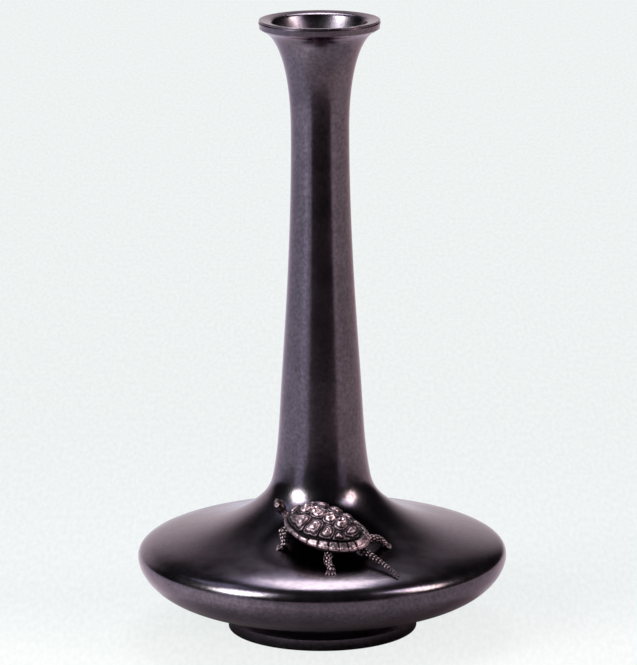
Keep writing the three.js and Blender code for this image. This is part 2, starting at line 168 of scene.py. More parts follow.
# Painted shade under the belly and a painted falloff to the right, multiplied into the paper's colour.
belly_gap = add_node(tree, "ShaderNodeVectorMath", {"operation": "DISTANCE", 1: under_belly}, {0: here})
shaded = add_node(
    tree,
    "ShaderNodeMapRange",
    {
        "interpolation_type": "SMOOTHSTEP",
        "From Min": shade_inside,
        "From Max": shade_outside,
        "To Min": light_under_belly,
        "To Max": light_beside_vase,
    },
    {"Value": belly_gap.outputs["Value"]},
)
off_right = add_node(
    tree, "ShaderNodeVectorMath", {"operation": "DOT_PRODUCT", 1: light_falls_off_to}, {0: here}
)
falls_off = add_node(
    tree,
    "ShaderNodeMapRange",
    {"From Min": loss_starts, "From Max": loss_full, "To Max": light_lost_right},
    {"Value": off_right.outputs["Value"]},
)
lost = add_node(tree, "ShaderNodeMath", {"operation": "MULTIPLY"}, {0: falls_off, 1: mirrored})
kept = add_node(tree, "ShaderNodeMath", {"operation": "SUBTRACT", 0: 1.0}, {1: lost})
painted_shade_share = add_node(tree, "ShaderNodeMath", {"operation": "MULTIPLY"}, {0: shaded, 1: kept})
bounce_tinted = add_node(
    tree, "ShaderNodeVectorMath", {"operation": "MULTIPLY", 1: painted_bounce_tint}, {0: paper.outputs[2]}
)
under = add_node(tree, "ShaderNodeVectorMath", {"operation": "SCALE"}, {0: bounce_tinted, "Scale": painted_shade_share})
matt = add_node(tree, "ShaderNodeBsdfDiffuse", None, {"Color": under})

# Further off the paper glows for the metal with a painted light: bluer on the left, warmer on the right, and
# a painted shade, dimmer and brown, in front, in line with the camera.
even_light = 1.25
far_left = linear("#E9F1FB")
far_right = linear("#DAD2CE")
far_painted_shade = linear("#A08A80")
left_until = -0.1
right_from = 0.4
in_line_half_width = 0.12
in_line_fades_by = 0.70
dim_from = -0.10
dim_until = -0.30
light_lost_in_front = 0.60

# Painted light and shade in the far paper's glow: its colour changes from side to side and it is dimmer in
# front.
aside = add_node(
    tree, "ShaderNodeMapRange", {"From Min": left_until, "From Max": right_from}, {"Value": axes.outputs[0]}
)
far_tint = add_node(
    tree, "ShaderNodeMix", {"data_type": "RGBA", 6: far_left, 7: far_right}, {"Factor": aside}
)
sideways = add_node(tree, "ShaderNodeMath", {"operation": "ABSOLUTE"}, {0: axes.outputs[0]})
in_line = add_node(
    tree,
    "ShaderNodeMapRange",
    {"interpolation_type": "SMOOTHSTEP", "From Min": in_line_fades_by, "From Max": in_line_half_width},
    {"Value": sideways},
)
before = add_node(
    tree,
    "ShaderNodeMapRange",
    {
        "interpolation_type": "SMOOTHSTEP",
        "From Min": dim_from,
        "From Max": dim_until,
        "To Max": light_lost_in_front,
    },
    {"Value": axes.outputs[1]},
)
in_front = add_node(tree, "ShaderNodeMath", {"operation": "MULTIPLY"}, {0: in_line, 1: before})
far_painted_light = add_node(
    tree,
    "ShaderNodeMix",
    {"data_type": "RGBA", 7: far_painted_shade},
    {"Factor": in_front, 6: far_tint.outputs[2]},
)
far = add_node(tree, "ShaderNodeEmission", {"Strength": even_light}, {"Color": far_painted_light.outputs[2]})

# The two meet in a wide ring round the vase, and the camera sees its own even paper.
even_from = 0.14
even_to = 0.50
shadow_share = 0.10

away = add_node(tree, "ShaderNodeVectorMath", {"operation": "LENGTH"}, {0: here})
reach = add_node(
    tree,
    "ShaderNodeMapRange",
    {"interpolation_type": "SMOOTHSTEP", "From Min": even_from, "From Max": even_to},
    {"Value": away.outputs["Value"]},
)
far_share = add_node(tree, "ShaderNodeMath", {"operation": "MULTIPLY"}, {0: reach, 1: mirrored})
lit = add_node(tree, "ShaderNodeMixShader", None, {0: far_share, 1: matt, 2: far})
even = add_node(tree, "ShaderNodeEmission", {"Strength": 1.0}, {"Color": paper.outputs[2]})
unshadowed = add_node(tree, "ShaderNodeMapRange", {"To Min": 1 - shadow_share, "To Max": 1}, {"Value": reach})
seen_share = add_node(
    tree, "ShaderNodeMath", {"operation": "MULTIPLY"}, {0: unshadowed, 1: rays.outputs["Is Camera Ray"]}
)
mixed = add_node(tree, "ShaderNodeMixShader", None, {0: seen_share, 1: lit, 2: even})
add_node(tree, "ShaderNodeOutputMaterial", None, {"Surface": mixed})

card_side = 3.2
card_front = -2.0
card_back = 3.6
card_corners = [
    (-card_side, card_front),
    (card_side, card_front),
    (card_side, card_back),
    (-card_side, card_back),
]
staged_sheet("studio_card", card_corners, 0, card_paper)

# Black cloth over the front of the card, which widens towards the camera: a dark sheet of painted shade,
# which only the metal sees, dull and uneven where its nap is worn.
cloth_back = -0.56
cloth_lift = 2 * mm
nap_width = 30 * mm
cloth_black = linear("#4E464C")
cloth_worn = linear("#5C5258")

painted_shade_cloth = bpy.data.materials.new("painted_shade_cloth")
tree = empty_tree(painted_shade_cloth)
here = add_node(tree, "ShaderNodeTexCoord").outputs["Object"]
nap = add_node(tree, "ShaderNodeTexNoise", {"Scale": 1 / nap_width}, {"Vector": here})
worn = add_node(tree, "ShaderNodeMix", {"data_type": "RGBA", 6: cloth_black, 7: cloth_worn}, {"Factor": nap})
soft = add_node(tree, "ShaderNodeBsdfDiffuse", None, {"Color": worn.outputs[2]})
add_node(tree, "ShaderNodeOutputMaterial", None, {"Surface": soft})

cloth_corners = [(-1.35, card_front), (2.0, card_front), (0.50, cloth_back), (-0.40, cloth_back)]
cloth = staged_sheet("studio_painted_shade_cloth", cloth_corners, cloth_lift, painted_shade_cloth)
cloth.visible_camera = False
cloth.visible_shadow = False
cloth.visible_diffuse = False

# The room: pale for the camera, and for metal a patch of pale card standing behind and a little to
# the left, which fades out upwards and to the sides; the rest of the room is nearly dark.
room_dark = linear("#26262A")
room_fill = 0.05
behind_bearing = math.radians(12)
behind_way = (-math.sin(behind_bearing), math.cos(behind_bearing), 0)
behind_full = math.cos(math.radians(5))
behind_none = math.cos(math.radians(43))
rise_full = math.sin(math.radians(12))
rise_none = math.sin(math.radians(34))

scene.world = bpy.data.worlds.new("studio_room")
tree = empty_tree(scene.world)
toward = add_node(tree, "ShaderNodeTexCoord").outputs["Generated"]
flat = add_node(tree, "ShaderNodeVectorMath", {"operation": "MULTIPLY", 1: (1, 1, 0)}, {0: toward})
level = add_node(tree, "ShaderNodeVectorMath", {"operation": "NORMALIZE"}, {0: flat})
backward = add_node(tree, "ShaderNodeVectorMath", {"operation": "DOT_PRODUCT", 1: behind_way}, {0: level})
behind = add_node(
    tree,
    "ShaderNodeMapRange",
    {"interpolation_type": "SMOOTHSTEP", "From Min": behind_none, "From Max": behind_full},
    {"Value": backward.outputs["Value"]},
)
axes = add_node(tree, "ShaderNodeSeparateXYZ", None, {0: toward})
rise = add_node(
    tree,
    "ShaderNodeMapRange",
    {"interpolation_type": "SMOOTHSTEP", "From Min": rise_none, "From Max": rise_full},
    {"Value": axes.outputs[2]},
)
patch = add_node(tree, "ShaderNodeMath", {"operation": "MULTIPLY"}, {0: behind, 1: rise})
rays = add_node(tree, "ShaderNodeLightPath")
pale = add_node(
    tree, "ShaderNodeMath", {"operation": "MAXIMUM"}, {0: patch, 1: rays.outputs["Is Camera Ray"]}
)
shown = add_node(tree, "ShaderNodeMix", {"data_type": "RGBA", 6: room_dark, 7: card_colour}, {"Factor": pale})
seen_room = add_node(tree, "ShaderNodeBackground", {"Strength": 1.0}, {"Color": shown.outputs[2]})
fill_room = add_node(tree, "ShaderNodeBackground", {"Color": card_colour, "Strength": room_fill})
scattered = rays.outputs["Is Diffuse Ray"]
mixed = add_node(tree, "ShaderNodeMixShader", None, {0: scattered, 1: seen_room, 2: fill_room})
add_node(tree, "ShaderNodeOutputWorld", None, {"Surface": mixed})


# Soft boxes: a bright one overhead, a little behind the vase, inside a wider dim one; one at either
# side of the camera, which fades out above and below; and the light that the left wall gives back.
def soft_box(name, place, aim_at, width, length, brightness, colour, shape="ELLIPSE"):
    """A lamp of this size in metres, aimed at a point and as bright as given where the metal shows it."""
    lamp = bpy.data.lights.new(name, "AREA")
    lamp.shape = shape
    lamp.size = width
    lamp.size_y = length
    lamp.color = linear(colour)[:3]
    lamp.energy = brightness * math.pi * width * length
    holder = put_in_scene(name, lamp)
    holder.location = place
    direction = Vector(aim_at) - Vector(place)
    holder.rotation_euler = direction.to_track_quat("-Z", "Y").to_euler()
    holder.visible_camera = False
    return holder


in_front_of_vase = (0, -0.08, 0)
low_on_body = (0, 0, 0.04)
shoulder_middle = (0, 0, 0.06)
foot_of_neck = (0, 0, 0.10)
overhead = soft_box(
    "soft_box_overhead", (0, 0.42, 1.05), in_front_of_vase, 0.36, 0.56, 8.5, "#F6FFEA", "RECTANGLE"
)
halo = soft_box("soft_box_halo", (-0.022, 0.446, 1.08), in_front_of_vase, 0.58, 0.84, 2.3, "#DCE4FF")
soft_box("wall_left", (-0.62, 0.10, 0.90), low_on_body, 0.35, 0.40, 1.1, "#D8E4FF", "RECTANGLE")
soft_box("soft_box_left", (-0.997, -0.650, 0.770), shoulder_middle, 0.74, 0.80, 14.2, "#F0FFF0")
soft_box("soft_box_right", (1.225, -0.415, 0.880), shoulder_middle, 0.55, 0.75, 10.2, "#FFFBE8")
soft_box("fade_left", (-0.805, -0.510, 1.090), shoulder_middle, 0.74, 0.42, 4.8, "#F0F6FF")
soft_box("low_left", (-0.993, -0.708, 0.150), foot_of_neck, 0.46, 0.28, 0.75, "#D4DEFF")
soft_box("low_right", (0.940, -0.750, 0.150), foot_of_neck, 0.46, 0.28, 0.35, "#E4DCF4")
soft_box("fade_right", (0.888, -0.396, 1.067), shoulder_middle, 0.60, 0.42, 4.0, "#F0F2FF")


# Foot ring: the short ring that the vase stands on. It is cast in bronze and turned on the lathe,
# hollowed a little on the outside and flared to its foot, with its edges eased by hand.
def bow(start, end, steps, leaving, reach_out, arriving, reach_in):
    """A curve of the outline as radius and height in mm, leaving and arriving at angles above level."""
    way_out = math.radians(leaving)
    way_in = math.radians(arriving)
    first = (start[0] + reach_out * math.cos(way_out), start[1] + reach_out * math.sin(way_out))
    last = (end[0] - reach_in * math.cos(way_in), end[1] - reach_in * math.sin(way_in))
    corners = (start, first, last, end)
    points = []
    for step in range(steps + 1):
        t = (1 - math.cos(math.pi * step / steps)) / 2
        weights = ((1 - t) ** 3, 3 * t * (1 - t) ** 2, 3 * t * t * (1 - t), t**3)
        points.append(tuple(sum(w * c[axis] for w, c in zip(weights, corners)) for axis in (0, 1)))
    return points


def eased(corners, tight=(), radius=0.3):
    """A closed outline with its sharp corners rounded, apart from the tight ones, which meet another part."""
    sharp = math.radians(25)
    most_of_side = 0.4
    made = []
    for index, corner in enumerate(corners):
        here = Vector(corner)
        back = Vector(corners[index - 1]) - here
        ahead = Vector(corners[(index + 1) % len(corners)]) - here
        if corner in tight or back.angle(-ahead) < sharp:
            made.append(corner)
            continue
        cut = min(radius, most_of_side * back.length, most_of_side * ahead.length)
        start = here + back.normalized() * cut
        end = here + ahead.normalized() * cut
        for t in (0, 0.25, 0.5, 0.75, 1):
            made.append(tuple(start * (1 - t) ** 2 + here * 2 * t * (1 - t) + end * t * t))
    return made


def new_group(name, inputs, output):
    """A group of geometry nodes with named inputs, and the node that hands their values in."""
    group = bpy.data.node_groups.new(name, "GeometryNodeTree")
    for label, kind in inputs.items():
        group.interface.new_socket(label, in_out="INPUT", socket_type="NodeSocket" + kind)
    group.interface.new_socket(output, in_out="OUTPUT", socket_type="NodeSocketGeometry")
    return group, group.nodes.new("NodeGroupInput")


def end_group(group, shape, metal):
    """Ends a group: its shape is smooth, has no instances left in it, and is all of one metal."""
    smooth = add_node(group, "GeometryNodeSetShadeSmooth", None, {"Geometry": shape})
    whole = add_node(group, "GeometryNodeRealizeInstances", None, {"Geometry": smooth})
    coated = add_node(group, "GeometryNodeSetMaterial", None, {"Geometry": whole, "Material": metal})
    add_node(group, "NodeGroupOutput", None, {0: coated})


def made_by(group, mesh, name, values):
    """What a group makes of a mesh, as a plain mesh on an object of its own with no modifier on it."""
    holder = put_in_scene(mesh.name, mesh)
    modifier = holder.modifiers.new(group.name, "NODES")
    modifier.node_group = group
    for label, value in values.items():
        modifier[group.interface.items_tree[label].identifier] = value
    depsgraph = bpy.context.evaluated_depsgraph_get()
    made = bpy.data.meshes.new_from_object(holder.evaluated_get(depsgraph), depsgraph=depsgraph)
    made.name = name
    bpy.data.objects.remove(holder)
    return put_in_scene(name, made)


# The lathe: it sweeps a closed outline round the vase's axis.
lathe_turns = 256
lathe_guide = 0.1
crease = math.radians(38)
lathe_inputs = {"Outline": "Geometry", "Turns": "Int", "Guide radius": "Float", "Metal": "Material"}
lathe, given = new_group("lathe", lathe_inputs, "Casting")
guide_radius = given.outputs["Guide radius"]
outline_curve = add_node(lathe, "GeometryNodeMeshToCurve", None, {"Mesh": given.outputs["Outline"]})
inward = add_node(lathe, "ShaderNodeMath", {"operation": "MULTIPLY", 1: -1.0}, {0: guide_radius})
shift = add_node(lathe, "ShaderNodeCombineXYZ", None, {"X": inward})
set_out = add_node(lathe, "GeometryNodeTransform", None, {"Geometry": outline_curve, "Translation": shift})
guide = add_node(
    lathe,
    "GeometryNodeCurvePrimitiveCircle",
    None,
    {"Resolution": given.outputs["Turns"], "Radius": guide_radius},
)
swept = add_node(lathe, "GeometryNodeCurveToMesh", None, {"Curve": guide, "Profile Curve": set_out})
upright = add_node(lathe, "GeometryNodeTransform", {"Rotation": (math.pi, 0, 0)}, {"Geometry": swept})
end_group(lathe, upright, given.outputs["Metal"])


def turned_casting(name, outline, metal):
    """A round part turned from a closed outline, which runs anticlockwise from its inside foot."""
    count = len(outline)
    mesh = bpy.data.meshes.new(name + "_outline")
    corners = [(radius * mm, height * mm, 0) for radius, height in outline]
    mesh.from_pydata(corners, [(i, (i + 1) % count) for i in range(count)], [])
    values = {"Turns": lathe_turns, "Guide radius": lathe_guide, "Metal": metal}
    piece = made_by(lathe, mesh, name, values)
    piece.data.set_sharp_from_angle(angle=crease)
    return piece


# Patinated cast bronze: the metal is turned smooth, then darkened with a hot chemical patina and
# waxed. To the eye it is a nearly black, faintly purple brown with a satin shine, cloudy where the
# patina is thicker. The casting's fine grain is drawn as coarse as it needs to be to show through.
cloud_width = 16 * mm
grain_width = 1.7 * mm
patina_thick = linear("#584E58")
patina_thin = linear("#665B65")

patinated_bronze = bpy.data.materials.new("patinated_cast_bronze")
tree = empty_tree(patinated_bronze)
here = add_node(tree, "ShaderNodeTexCoord").outputs["Object"]
clouds = add_node(
    tree, "ShaderNodeTexNoise", {"Scale": 1 / cloud_width, "Detail": 5, "Roughness": 0.62}, {"Vector": here}
)
grain = add_node(
    tree, "ShaderNodeTexNoise", {"Scale": 1 / grain_width, "Detail": 3, "Roughness": 0.6}, {"Vector": here}
)
patina = add_node(tree, "ShaderNodeValToRGB", None, {"Fac": clouds})
patina.color_ramp.elements[0].position = 0.32
patina.color_ramp.elements[0].color = patina_thick
patina.color_ramp.elements[1].position = 0.70
patina.color_ramp.elements[1].color = patina_thin
speckle = add_node(
    tree,
    "ShaderNodeMapRange",
    {"From Min": 0.3, "From Max": 0.7, "To Min": 0.70, "To Max": 1.28},
    {"Value": grain},
)
specked = add_node(
    tree,
    "ShaderNodeMix",
    {"data_type": "RGBA", "blend_type": "MULTIPLY", "Factor": 1.0},
    {6: patina, 7: speckle},
)
dullness = add_node(
    tree,
    "ShaderNodeMapRange",
    {"From Min": 0.3, "From Max": 0.7, "To Min": 0.18, "To Max": 0.24},
    {"Value": clouds},
)
relief = add_node(tree, "ShaderNodeBump", {"Strength": 0.12, "Distance": 0.02 * mm}, {"Height": grain})

# Round the turtle's feet the colour is darkened nearly to black: painted shade under and around the turtle.
painted_shade_middle = (2 * mm, -48 * mm, 53 * mm)
painted_shade_inside = 31 * mm
painted_shade_outside = 39 * mm
painted_shade_level = 0.10
narrower = 1.35
offset = (-painted_shade_middle[0], -painted_shade_middle[1] * narrower, -painted_shade_middle[2])

from_turtle = add_node(
    tree, "ShaderNodeMapping", {"Location": offset, "Scale": (1, narrower, 1)}, {"Vector": here}
)
turtle_gap = add_node(tree, "ShaderNodeVectorMath", {"operation": "LENGTH"}, {0: from_turtle})
beyond_painted_shade = add_node(
    tree,
    "ShaderNodeMapRange",
    {
        "interpolation_type": "SMOOTHSTEP",
        "From Min": painted_shade_inside,
        "From Max": painted_shade_outside,
        "To Min": painted_shade_level,
    },
    {"Value": turtle_gap.outputs["Value"]},
)

# Inside the mouth it is thicker, duller and blacker.
mouth_middle = (0, 0, 303 * mm)
mouth_inside = 20 * mm
mouth_outside = 23.5 * mm
duller = 0.24
blacker = 0.45

mouth_gap = add_node(tree, "ShaderNodeVectorMath", {"operation": "DISTANCE", 1: mouth_middle}, {0: here})
in_mouth = add_node(
    tree,
    "ShaderNodeMapRange",
    {
        "interpolation_type": "SMOOTHSTEP",
        "From Min": mouth_inside,
        "From Max": mouth_outside,
        "To Min": 1.0,
        "To Max": 0.0,
    },
    {"Value": mouth_gap.outputs["Value"]},
)
# The painted shade round the turtle, and the darker patina inside the mouth, scale the colour.
clear = add_node(
    tree, "ShaderNodeMath", {"operation": "MULTIPLY_ADD", 1: -blacker}, {0: in_mouth, 2: beyond_painted_shade}
)
darkened = add_node(
    tree, "ShaderNodeVectorMath", {"operation": "SCALE"}, {0: specked.outputs[2], "Scale": clear}
)
roughness = add_node(
    tree, "ShaderNodeMath", {"operation": "MULTIPLY_ADD", 1: duller}, {0: in_mouth, 2: dullness}
)
metal = add_node(
    tree,
    "ShaderNodeBsdfPrincipled",
    {"Metallic": 1.0, "Specular Tint": linear("#FFEFF6")},
    {"Base Color": darkened, "Roughness": roughness, "Normal": relief},
)
add_node(tree, "ShaderNodeOutputMaterial", None, {"Surface": metal})

# The ring's outline, as radius and height in mm.
wall = 2.8
foot_radius = 46.6
foot_height = 14.1
foot_band = (46.3, 5.3)
foot_waist = (43.4, 11.6)
foot_top = (43.9, foot_height)
foot_bore = 42.2
foot_clamp = 37.1
foot_easing = 0.5

foot_hollow = bow(foot_band, foot_waist, 20, leaving=120, reach_out=1.8, arriving=94, reach_in=3.0)
foot_outline = [
    (foot_bore, 0.0),
    (foot_radius, 0.0),
    *foot_hollow,
    foot_top,
    (foot_clamp, foot_height),
    (foot_clamp, foot_height - wall),
    (foot_bore, foot_height - 2 * wall),
]
foot = turned_casting("foot_ring_casting", eased(foot_outline, [foot_top], foot_easing), patinated_bronze)
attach(foot, "root")
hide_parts("foot_ring")


# Bottom plate: a stepped disc that closes the hole the core was taken out by. It is cast bronze
# left as it came from the mould, dull and brown, and it is let in from below and soldered.
def finish_cad_node(name, metal):
    """A CAD node whose shape is right stays, in this metal."""
    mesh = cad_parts[name].data
    mesh.materials.clear()
    mesh.materials.append(metal)


# Raw cast bronze: to the eye a dull brown skin, grainy from the sand of the mould and stained where
# the metal was hottest.
sand_width = 0.7 * mm
stain_width = 9 * mm
stain_dark = linear("#6A5340")
stain_light = linear("#94795A")

cast_bronze = bpy.data.materials.new("raw_cast_bronze")
tree = empty_tree(cast_bronze)
here = add_node(tree, "ShaderNodeTexCoord").outputs["Object"]
sand = add_node(
    tree, "ShaderNodeTexNoise", {"Scale": 1 / sand_width, "Detail": 4, "Roughness": 0.7}, {"Vector": here}
)
stain = add_node(tree, "ShaderNodeTexNoise", {"Scale": 1 / stain_width, "Detail": 4}, {"Vector": here})
browned = add_node(tree, "ShaderNodeValToRGB", None, {"Fac": stain})
browned.color_ramp.elements[0].position = 0.35
browned.color_ramp.elements[0].color = stain_dark
browned.color_ramp.elements[1].position = 0.68
browned.color_ramp.elements[1].color = stain_light
rough_skin = add_node(
    tree,
    "ShaderNodeMapRange",
    {"From Min": 0.3, "From Max": 0.7, "To Min": 0.45, "To Max": 0.65},
    {"Value": sand},
)
sand_relief = add_node(tree, "ShaderNodeBump", {"Strength": 0.5, "Distance": 0.08 * mm}, {"Height": sand})
metal = add_node(
    tree,
    "ShaderNodeBsdfPrincipled",
    {"Metallic": 1.0},
    {"Base Color": browned, "Roughness": rough_skin, "Normal": sand_relief},
)
add_node(tree, "ShaderNodeOutputMaterial", None, {"Surface": metal})

finish_cad_node("base_plate", cast_bronze)


# Belly: the lower half of the body, from the foot out to the widest line. It is cast thin over a
# core and turned outside; a lip inside its rim takes the upper half, and the seam is polished away.
plate_radius = 39.5
plate_ledge = 3.5
ledge_height = 15.5
joint_gap = 0.3
flat_end = (50.0, foot_height)
widest = (90.9, 36.5)
lip_thickness = 1
lip_rise = 2
lip_inside = widest[0] - wall
lip_outside = lip_inside + lip_thickness
lip_top = widest[1] + lip_rise


def inset(points, depth):
    """The line of the inside of the wall, a depth inside a line of outline points."""
    line = np.array(points)
    along = np.gradient(line, axis=0)
    along /= np.linalg.norm(along, axis=1)[:, None]
    return [tuple(p) for p in line + depth * np.column_stack([-along[:, 1], along[:, 0]])]


def belly_sweep(steps):
    """The outside of the belly, from level beside the foot to upright at the widest line."""
    return bow(flat_end, widest, steps, leaving=0, reach_out=34, arriving=90, reach_in=5.2)


belly_line = belly_sweep(72)
belly_inside = [p for p in inset(belly_sweep(26), wall) if p[1] < widest[1]][::-1]
belly_outline = [
    (plate_radius + joint_gap, foot_height),
    *belly_line,
    (lip_outside, widest[1]),
    (lip_outside, lip_top),
    (lip_inside, lip_top),
    (lip_inside, widest[1]),
    *belly_inside,
    (plate_radius - plate_ledge, foot_height + wall),
    (plate_radius - plate_ledge, ledge_height),
    (plate_radius + joint_gap, ledge_height),
]
belly = turned_casting("belly_casting", eased(belly_outline, [belly_line[-1]]), patinated_bronze)
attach(belly, "root")
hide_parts("belly_shell")


# Shoulder: the upper half of the body, which sweeps in from the widest line and up to a collar that
# the neck stands in. It is cast and turned like the belly; the turtle's feet hide the holes for their
# pegs, so these are left out.
knee = (32.0, 64.0)
knee_slope = 139.3
neck_foot = (24.0, 77.0)
neck_foot_slope = 101.6
collar_socket = 22.6
collar_bottom = 72.7
seam_socket = lip_outside + joint_gap
seam_top = lip_top + joint_gap


def between(points, low, high):
    """The inside of the wall from one height up to another, running downwards."""
    line = np.array(points)
    order = np.argsort(line[:, 1])
    ends = [(float(np.interp(h, line[order, 1], line[order, 0])), h) for h in (low, high)]
    middle = [tuple(p) for p in line if low < p[1] < high]
    return [ends[1], *reversed(middle), ends[0]]


def shoulder_sweep(steps, fillet_steps):
    """The outside of the shoulder, in from the widest line to the knee and on up to the neck."""
    sweep = bow(widest, knee, steps, leaving=90, reach_out=13.8, arriving=knee_slope, reach_in=31.4)
    fillet = bow(
        knee,
        neck_foot,
        fillet_steps,
        leaving=knee_slope,
        reach_out=6.1,
        arriving=neck_foot_slope,
        reach_in=5.6,
    )
    return sweep + fillet[1:]


shoulder_line = shoulder_sweep(90, 24)
shoulder_inside = inset(shoulder_sweep(30, 8), wall)
shoulder_outline = [
    (seam_socket, widest[1]),
    *shoulder_line,
    (collar_socket, neck_foot[1]),
    (collar_socket, collar_bottom),
    *between(shoulder_inside, seam_top, collar_bottom),
    (seam_socket, seam_top),
]
shoulder_joints = [shoulder_line[0], shoulder_line[-1]]
shoulder = turned_casting("shoulder_casting", eased(shoulder_outline, shoulder_joints), patinated_bronze)
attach(shoulder, "root")
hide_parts("shoulder_shell")


# Neck: a tall tapered tube, narrowest near the top and flared to the mouth. It is cast as one
# tube, turned, and let into the shoulder's collar by the spigot at its foot.
taper = (19.8, 120.5)
taper_slope = 93.4
waist = (14.2, 248.6)
flare = (27.7, 297.9)
seat_height = 299.0
flare_edge = (29.1, seat_height)
throat_height = 290.0
lip_radius = 22.9
lip_height = 301.1
neck_bore = neck_foot[0] - wall
spigot_wall = 1.1
spigot_outside = neck_bore + spigot_wall
spigot_bottom = 73.0
lip_socket = 24.2
lip_socket_bottom = 297.7


def neck_sweep(steps):
    """The outside of the neck: in to the taper, straight up to the waist, and out to the flare."""
    foot_sweep = bow(
        neck_foot,
        taper,
        steps,
        leaving=neck_foot_slope,
        reach_out=13.1,
        arriving=taper_slope,
        reach_in=16.7,
    )
    tapered = bow(taper, waist, steps, leaving=taper_slope, reach_out=26.3, arriving=90, reach_in=55.6)
    flared = bow(waist, flare, steps, leaving=90, reach_out=34.5, arriving=18, reach_in=6)
    return foot_sweep + tapered[1:] + flared[1:]


neck_line = neck_sweep(48)
inside_start = neck_foot[1] + 0.1
inside_above = between(inset(neck_sweep(14), wall), inside_start, throat_height)
throat_radius = inside_above[0][0]


def on_funnel(height):
    """A point of the funnel that runs straight down from the lip to the throat."""
    share = (height - throat_height) / (lip_height - throat_height)
    return (throat_radius + (lip_radius - throat_radius) * share, height)


neck_outline = [
    (spigot_outside, neck_foot[1]),
    *neck_line,
    flare_edge,
    (lip_socket, seat_height),
    (lip_socket, lip_socket_bottom),
    on_funnel(lip_socket_bottom),
    *inside_above,
    (neck_bore, neck_foot[1]),
    (neck_bore, spigot_bottom),
    (spigot_outside, spigot_bottom),
]
neck_joints = [neck_line[0], neck_line[-1], flare_edge, on_funnel(lip_socket_bottom)]
neck = turned_casting("neck_casting", eased(neck_outline, neck_joints), patinated_bronze)
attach(neck, "root")
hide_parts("neck")


# Mouth ring: its lip slopes into the mouth. It is cast in bronze and turned, with a groove cut round
# its edge, and it is let into the flare of the neck.
vase_height = 303.0
mouth_radius = 29.5
ring_gap = 0.01
ring_bottom = lip_socket_bottom + ring_gap
ring_spigot = lip_radius + 1
groove_radius = 28.7
groove_low = 301.7
groove_high = 302.3
edge_break = 0.08
lower_band_foot = mouth_radius - 0.5
upper_band = mouth_radius - 0.25
upper_break = 0.15
roll_start = (mouth_radius - 1.15, vase_height)
roll_end = (lip_radius, lip_height)
ring_easing = 0.12

rolled_lip = bow(roll_start, roll_end, 14, leaving=189, reach_out=3.9, arriving=252, reach_in=1.3)
lower_edge = (mouth_radius, groove_low - edge_break)
broken_edge = (mouth_radius - edge_break, groove_low)
groove_foot = (groove_radius, groove_low)
ring_foot = on_funnel(ring_bottom)
mouth_outline = [
    ring_foot,
    (ring_spigot, ring_bottom),
    (ring_spigot, seat_height),
    (lower_band_foot, seat_height),
    lower_edge,
    broken_edge,
    groove_foot,
    (groove_radius, groove_high),
    (upper_band, groove_high),
    (upper_band, vase_height - upper_break),
    (upper_band - upper_break, vase_height),
    *rolled_lip,
]
ring_joints = [ring_foot, lower_edge, broken_edge, groove_foot]
mouth = turned_casting("mouth_ring_casting", eased(mouth_outline, ring_joints, ring_easing), patinated_bronze)
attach(mouth, "root")
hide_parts("mouth_rim")

# The boxes overhead light the front of the shoulder past the neck and the mouth ring.
lit_past = bpy.data.collections.new("lit_past")
lit_past.objects.link(neck)
lit_past.objects.link(mouth)
for lamp in (overhead, halo):
    lamp.light_linking.blocker_collection = lit_past
for entry in lit_past.collection_objects:
    entry.light_linking.link_state = "EXCLUDE"


# Turtle, where it stands: its own x runs forwards, y to its left and z up through its back, in mm.
# It faces up and to the left across the front of the shoulder, and leans with the slope.
def from_front(bearing, reach, height):
    """A place or a way, by its bearing in degrees to the right of the vase's front."""
    angle = math.radians(bearing)
    return Vector((reach * math.sin(angle), -reach * math.cos(angle), height))


slope = np.array(sorted(shoulder_line))


def shoulder_height(radius):
    """The height of the shoulder's outside at this radius."""
    return float(np.interp(radius, slope[:, 0], slope[:, 1]))


turtle_bearing = 2.4
turtle_reach = 48.0
turtle_heading = math.radians(36)
lean_bearing = 7.9
turtle_lean = math.radians(17.5)
up = from_front(lean_bearing, math.sin(turtle_lean), math.cos(turtle_lean))
forward = Vector((-math.cos(turtle_heading), math.sin(turtle_heading), 0))
forward = (forward - up * forward.dot(up)).normalized()
leftward = up.cross(forward)
turtle_turn = Matrix((forward, leftward, up)).transposed().to_4x4()
turtle_stands = from_front(turtle_bearing, turtle_reach, shoulder_height(turtle_reach))
turtle_place = Matrix.Translation(turtle_stands) @ turtle_turn
turtle_to_vase = Matrix.Scale(mm, 4) @ turtle_place


def ground(x, y):
    """The height of the shoulder's surface over the turtle's own ground, found by halving."""
    halvings = 40
    low = -40.0
    high = 40.0
    for _ in range(halvings):
        middle = (low + high) / 2
        point = turtle_place @ Vector((x, y, middle))
        if point.z > shoulder_height(math.hypot(point.x, point.y)):
            high = middle
        else:
            low = middle
    return high


# Turtle shell: an oval dome with a plate pattern, three knobs along its keel and a ring of edge
# plates. It is cast in bronze by lost wax, chased with punches, darkened, and rubbed bright on top.
half_length = 22.2
half_width = 14.8
rim_height = 8.0
dome_rise = 8.1
dome_rise_ahead = 0.3
dome_ahead = (-4, 12)
dome_fullness = 2.4
dome_fullness_ahead = 1.2
dome_roundness = 0.75
dome_roundness_lost_ahead = 0.15
inner_rim = [(0.995, -0.45), (0.975, -0.8), (0.93, -0.8)]
inner_edge = 0.9
inner_rings = (inner_edge, 0.8, 0.65, 0.45, 0.2)
inner_height = 7.2
inner_rise = 7.3
shell_round = 440
shell_rows = 120

